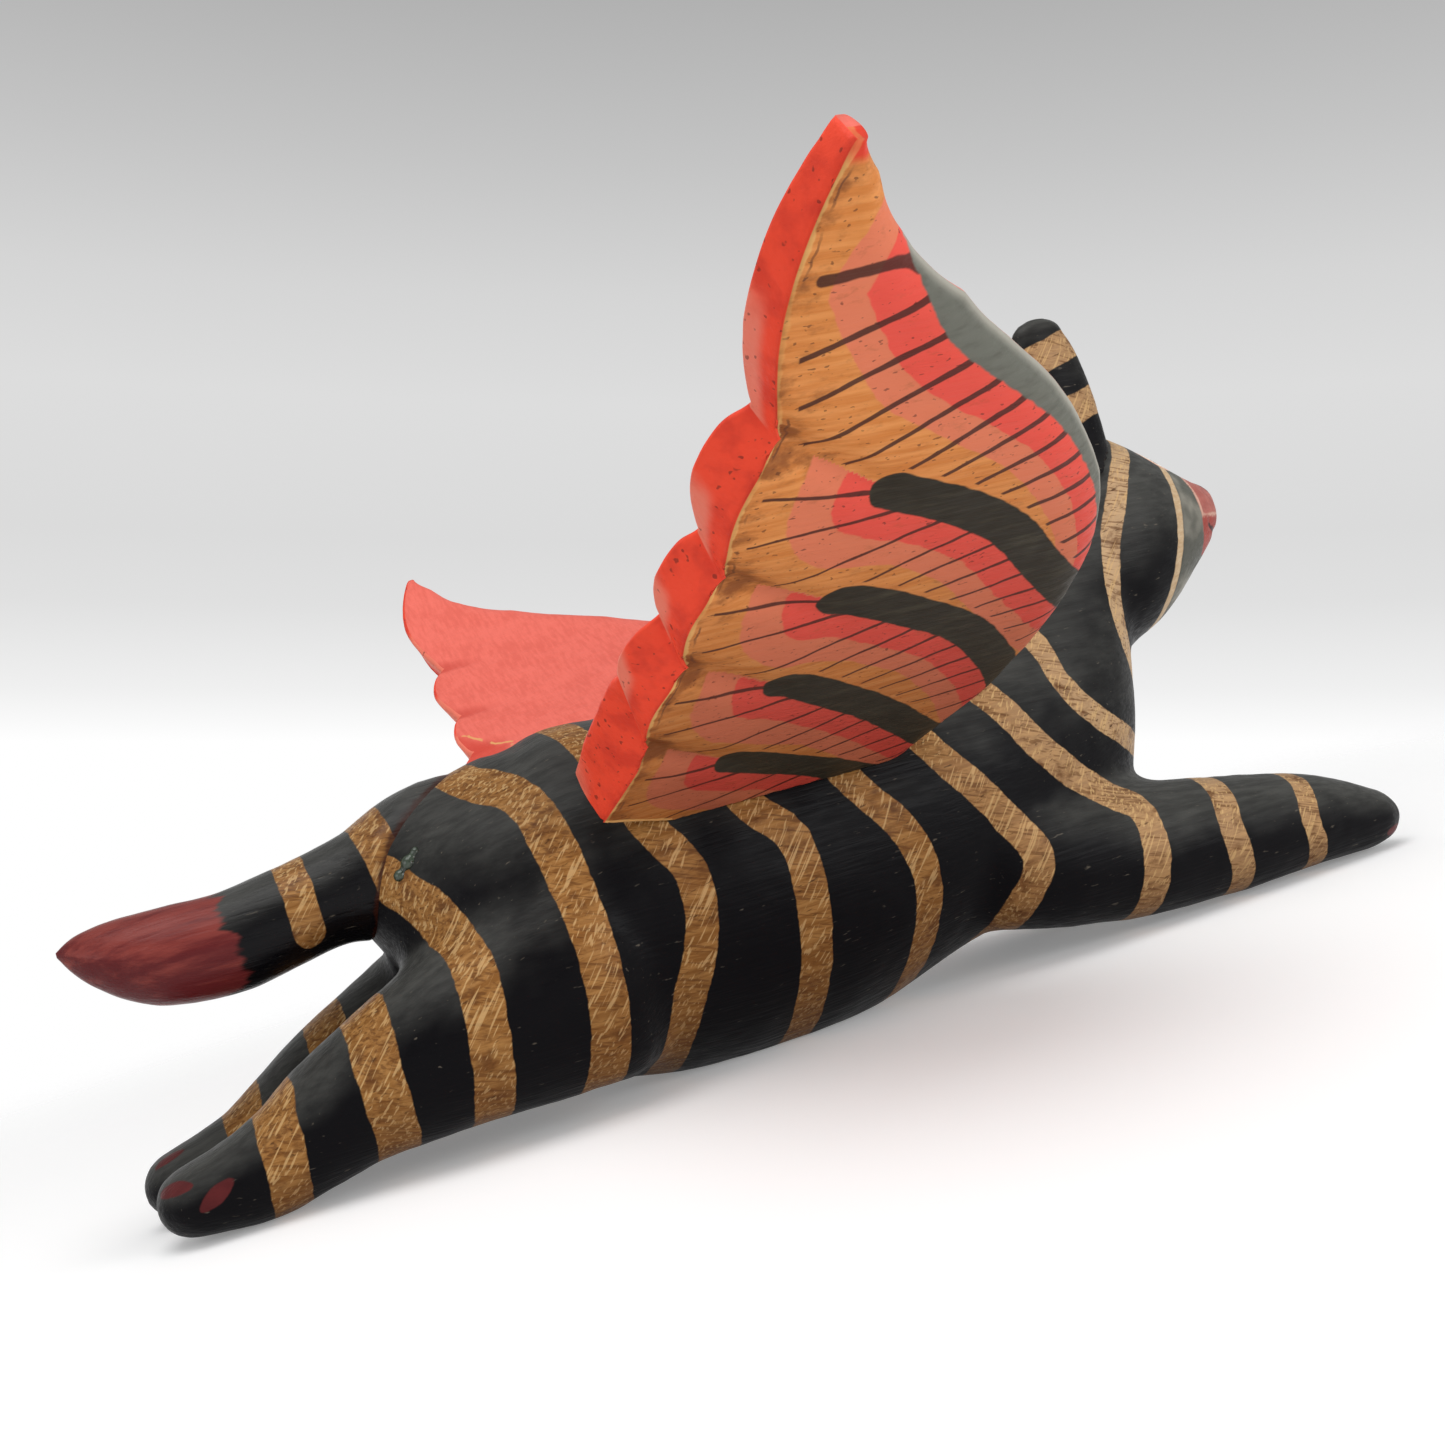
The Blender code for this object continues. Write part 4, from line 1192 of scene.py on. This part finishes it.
def feather_share(station):
    """Return how far each station is along its feather, from 0 at the root's side to 1."""
    stations = np.array(NOTCH_STATIONS)
    index = np.clip(np.searchsorted(stations, station, side="right") - 1, 0, len(stations) - 2)
    return (station - stations[index]) / (stations[index + 1] - stations[index])


def furrows(distance, x, notches, furrow):
    """Return how deep a face is carved inwards from its notches."""
    depth = np.zeros_like(x)
    for start, start_x in notches[1:-1]:
        inward = x - start_x
        off_line = distance - (start - furrow.sweep * inward)
        fade = np.clip(1.0 - inward / furrow.length, 0.0, FURROW_MOST)
        depth += furrow.depth * fade * np.exp(-(off_line / furrow.half_width) ** 2)
    return depth


def under_drop(distance, x):
    """Return how deep the underside is carved."""
    return furrows(distance, x, UNDER_REAR.notches, UNDER_FURROW)


def upper_drop(distance, x):
    """Return how deep the upper face is carved: its furrows and its bevelled feather."""
    bevel = BEVEL_SLOPE * np.clip(read_table(BEVEL_LINE, distance) - x, 0.0, BEVEL_REACH)
    return furrows(distance, x, UPPER_REAR.notches, UPPER_FURROW) + bevel


def wing_columns():
    """Return the lines that run along the wing, round its section: a kind and a share of that kind."""
    columns = [("under", i / UNDER_COLUMNS) for i in range(UNDER_COLUMNS)]
    columns += [("nose", i / NOSE_COLUMNS) for i in range(NOSE_COLUMNS + 1)]
    columns += [("upper", i / UPPER_COLUMNS) for i in reversed(range(UPPER_COLUMNS))]
    columns += [("high_corner", share) for share in CORNER_COLUMNS]
    columns += [("rear", i / REAR_COLUMNS) for i in range(REAR_COLUMNS + 1)]
    columns += [("low_corner", share) for share in CORNER_COLUMNS]
    return columns


def section_place(column, station):
    """Return a line's distance along the wing, forward place and height above the middle surface."""
    kind, share = column
    under_distance, under_rear = rear_edge(station, UNDER_REAR)
    _, upper_rear = rear_edge(station, UPPER_REAR)
    pull = {"under": (1 - share) ** 2, "rear": share, "low_corner": 1.0}.get(kind, 0.0)
    distance = station + pull * (under_distance - station)
    raised = {"under": 0.0, "low_corner": 0.0, "nose": share}.get(kind, 1.0)
    rear = under_rear + raised * (upper_rear - under_rear)
    part = np.clip(distance / WING_SPAN, 0.0, 1.0)
    half = (WING_ROOT_THICKNESS + (WING_TIP_THICKNESS - WING_ROOT_THICKNESS) * part) / 2
    front = np.maximum(np.interp(distance, *LEADING_TABLE), rear + 2 * WING_CORNER)
    rounding = np.minimum(LEADING_ROUND, ROUND_SHARE * (front - rear))
    corner = np.minimum(WING_CORNER, CORNER_SHARE * (front - rear))
    flat = rear + corner + (front - rounding - rear - corner) * share
    rim_drop = upper_drop(station, upper_rear + corner)
    if kind == "under":
        return distance, flat, under_drop(distance, flat) - half
    if kind == "upper":
        return distance, flat, half - upper_drop(distance, flat)
    if kind == "rear":
        height = (half - corner) * (1 - 2 * share) - rim_drop * (1 - share)
        return distance, upper_rear + (under_rear - upper_rear) * share, height
    if kind == "nose":
        turn = math.pi * (share - 0.5)
        return distance, front - rounding + rounding * math.cos(turn), half * math.sin(turn)
    turn = share * math.pi / 2
    if kind == "high_corner":
        top = half - rim_drop
        return distance, rear + corner * (1 - math.sin(turn)), top - corner * (1 - math.cos(turn))
    low = under_drop(distance, rear + corner) * share - half
    return distance, rear + corner * (1 - math.sin(turn)), low + corner * (1 - math.sin(turn))


def wing_point(x, distance, height, sign, pose):
    """Place points of the wing: along it, across it and above its middle surface."""
    root = math.radians(pose.root_rise)
    bend = math.radians(pose.tip_rise - pose.root_rise) / WING_SPAN
    outside = np.maximum(distance, 0.0)
    half = bend * outside / 2
    chord = outside * np.sinc(half / np.pi) + np.minimum(distance, 0.0)
    slope = root + 2 * half
    over = height + x * math.tan(math.radians(pose.pitch))
    y = WING_ROOT_Y + chord * np.cos(root + half) - over * np.sin(slope)
    z = WING_ROOT_Z + chord * np.sin(root + half) + over * np.cos(slope)
    return np.stack((x + pose.forward, sign * y, z), axis=-1)


def wing_stations():
    """Return the distances along the wing at which it has a section."""
    stations = []
    for start, end in zip(NOTCH_STATIONS, NOTCH_STATIONS[1:]):
        steps = round((end - start) / WING_STEP)
        stations += [start + (end - start) * i / steps for i in range(steps)]
    return np.array(stations + [WING_SPAN])


def outside_body(point, tree):
    """Return how far a point is outside the body; below zero inside."""
    place, normal, _, gap = tree.find_nearest(point)
    return gap if (Vector(point) - place).dot(normal) > 0 else -gap


def root_start(column, sign, pose, tree):
    """Return the station at which a line along the wing leaves the body or the cut-off corner."""
    station = np.arange(ROOT_BLEND, -WING_SUNK, -ROOT_STEP)
    distance, x, height = section_place(column, station)
    least = read_table(ROOT_CORNER, x)
    points = wing_point(x, distance, height, sign, pose)
    for i, point in enumerate(points):
        if distance[i] < least[i] or outside_body(point, tree) < CLEARANCE:
            return station[i] + ROOT_STEP
    return -WING_SUNK


def line_places(column, sign, pose, tree, stations):
    """Return one line along the wing, with its root fitted to the flank: its fields, then its points."""
    start = root_start(column, sign, pose, tree)
    stretch = (ROOT_BLEND - start) / (ROOT_BLEND - stations[0])
    fitted = np.where(stations < ROOT_BLEND, start + (stations - stations[0]) * stretch, stations)
    distance, x, height = section_place(column, fitted)
    rim = x - rear_edge(fitted, UNDER_REAR)[1]
    edge = np.full(len(stations), EDGE_MARKS.get(column[0], 1.0))
    return x, distance, height, rim, edge, feather_share(fitted), wing_point(x, distance, height, sign, pose)


def tier_numbers(x, along):
    """Return for each place how many bars, each carried on through its notch, lie outward of it."""
    count = np.zeros(len(x), dtype=int)
    for bar, notch in zip(WING_BARS, UNDER_REAR.notches[-2:0:-1]):
        end, end_x = np.array(notch) * MM
        line = [(end_x + BAR_RUN_ON[0], end + BAR_RUN_ON[1]), (end_x, end)]
        line += [point for point in bar if point[0] > end_x]
        count += along < read_table(line, x)
    return count


def zone_depths(x, zones):
    """Return the depths of the red zone and of the coral zone at each forward place."""
    return np.interp(x, zones.places, zones.red), np.interp(x, zones.places, zones.coral)


def zone_field(x, along, depth, tier):
    """Return below 1 in the red zone, up to 2 in the coral zone, and above 2 in the ochre zone."""
    red, coral = np.where(tier == 0, zone_depths(x, BAND_ZONES), zone_depths(x, BAR_ZONES))
    zone = np.where(depth < red, depth / red, 1 + (depth - red) / (coral - red))
    return zone + np.interp(along, TIP_FADE, (0.0, 1.0))


def places_along(line, first, spacing):
    """Return places at even spacing along a line of several segments, from a first distance on."""
    line = np.asarray(line, dtype=float)
    lengths = np.concatenate(((0.0,), np.cumsum(np.linalg.norm(np.diff(line, axis=0), axis=1))))
    steps = np.arange(first, lengths[-1], spacing)
    return np.stack((np.interp(steps, lengths, line[:, 0]), np.interp(steps, lengths, line[:, 1])), axis=1)


def hatch_line(points, start, slope, length, widths):
    """Return the signed offset from a tapering hatch line, its half width and the gap to it; millimetres."""
    heading = -np.array((1.0, slope)) / math.hypot(1.0, slope)
    offset = points - start
    part = np.clip(offset @ heading / length, 0.0, 1.0)
    gap = np.linalg.norm(offset - part[:, None] * length * heading, axis=1)
    side = offset[:, 0] * heading[1] - offset[:, 1] * heading[0]
    return side, np.interp(part, (0, 1), widths), gap


def hatch_lines():
    """Return each hatch line: its tier, start, slope, length and half widths."""
    lines = []
    for number, line in enumerate((BAND_EDGE[1:], *WING_BARS)):
        slopes = HATCH_SLOPES if number else BAND_HATCH_SLOPES
        widths = HATCH_HALF_WIDTHS if number else BAND_HATCH_HALF_WIDTHS
        first = HATCH_FIRST if number else BAND_HATCH_FIRST
        for index, start in enumerate(places_along(line, first, HATCH_SPACING)):
            slope = slopes[min(index, len(slopes) - 1)]
            length = np.interp(index, (0, len(slopes) - 1), HATCH_LENGTHS)
            lines.append((number, start, slope, length, widths))
    return lines


def hatch_fields(points, tier, next_gap, rim):
    """Return for the nearest hatch line the signed offset, the half width and the gap; millimetres."""
    side = np.full(len(points), FAR)
    width = np.full(len(points), HATCH_HALF_WIDTHS[0])
    gap = np.full(len(points), FAR)
    for number, *shape in hatch_lines():
        new_side, new_width, new_gap = hatch_line(points, *shape)
        nearer = (tier == number) & (new_gap < gap)
        side[nearer] = new_side[nearer]
        width[nearer] = new_width[nearer]
        gap[nearer] = new_gap[nearer]
    return side, width, np.max([gap, HATCH_BAR_GAP - next_gap, HATCH_REAR_GAP - rim], axis=0)


def band_field(points):
    """Return the distance to the inner edge of the leading band, below zero in the band; millimetres."""
    line = smooth_line(BAND_EDGE)
    gap = line_distance(points, line)
    return np.where(points[:, 0] > read_table(line[::-1, ::-1], points[:, 1]), -gap, gap)


def store_wing_fields(mesh, x, distance, height, rim, edge, share):
    """Store every painted field of a wing, in millimetres."""
    points = np.stack((x, distance), axis=1) * MM
    tier = tier_numbers(*points.T)
    band = band_field(points)
    depths = np.stack([np.abs(band)] + [line_distance(points, smooth_line(bar)) for bar in WING_BARS], axis=1)
    each = np.arange(len(x))
    last = len(WING_BARS)
    next_gap = np.where(tier < last, depths[each, np.minimum(tier + 1, last)], FAR)
    side, width, gap = hatch_fields(points, tier, next_gap, rim * MM)
    store(mesh, zone=zone_field(*points.T, depths[each, tier], tier), band=band,
          bar=depths[:, 1:].min(axis=1) - BAR_HALF_WIDTH, hatch_side=side, hatch_width=width, hatch=gap,
          tip_line=line_distance(points, smooth_line(TIP_LINE)) - TIP_LINE_HALF_WIDTH,
          rim=rim * MM, along=distance * MM, root=(distance - read_table(ROOT_CORNER, x)) * MM,
          edge=edge, share=share, height=height * MM, groove=under_drop(distance, x) * MM,
          furrow=furrows(distance, x, UPPER_REAR.notches, UPPER_FURROW) * MM,
          bevel=(x - read_table(BEVEL_LINE, distance)) * MM)


def make_wing(side, body_tree, material):
    sign = SIDE_SIGNS[side]
    pose = WING_POSES[side]
    stations = wing_stations()
    lines = [line_places(column, sign, pose, body_tree, stations) for column in wing_columns()]
    *fields, points = (np.stack(values, axis=1) for values in zip(*lines))
    node = side + "_wing"
    mesh = skin(points, node)
    store_wing_fields(mesh, *(field.ravel() for field in fields))
    carve(mesh)
    make_piece("carved_" + node, mesh, material, node, node)


def make_glue(body_tree):
    """Make the bead of glue as drops run together on the rump."""
    shape = bmesh.new()
    for place, radius in GLUE_DROPS:
        seat, normal, _, _ = body_tree.find_nearest(place)
        middle = Matrix.Translation(seat - normal * radius * GLUE_SUNK)
        bmesh.ops.create_icosphere(shape, subdivisions=GLUE_FINENESS, radius=radius, matrix=middle)
    mesh = eased_copy(mesh_of(shape, "glue"), GLUE_VOXEL, GLUE_EASE)
    make_piece("glue_bead", mesh, glue_material(), "body")


def finish_pegs():
    """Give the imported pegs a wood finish."""
    material = peg_material()
    for name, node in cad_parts.items():
        if name.endswith("_peg") or name.endswith("_dowel"):
            for slot in node.material_slots:
                slot.link = 'OBJECT'
                slot.material = material


def main():
    bpy.context.scene.view_settings.view_transform = 'Standard'
    make_camera()
    make_world()
    make_lamps()
    make_floor()
    body = make_body()
    body_tree = surface_tree(body.data)
    make_tail(body_tree)
    make_ears()
    material = wing_material()
    for side in SIDE_SIGNS:
        make_wing(side, body_tree, material)
    make_glue(body_tree)
    finish_pegs()


main()
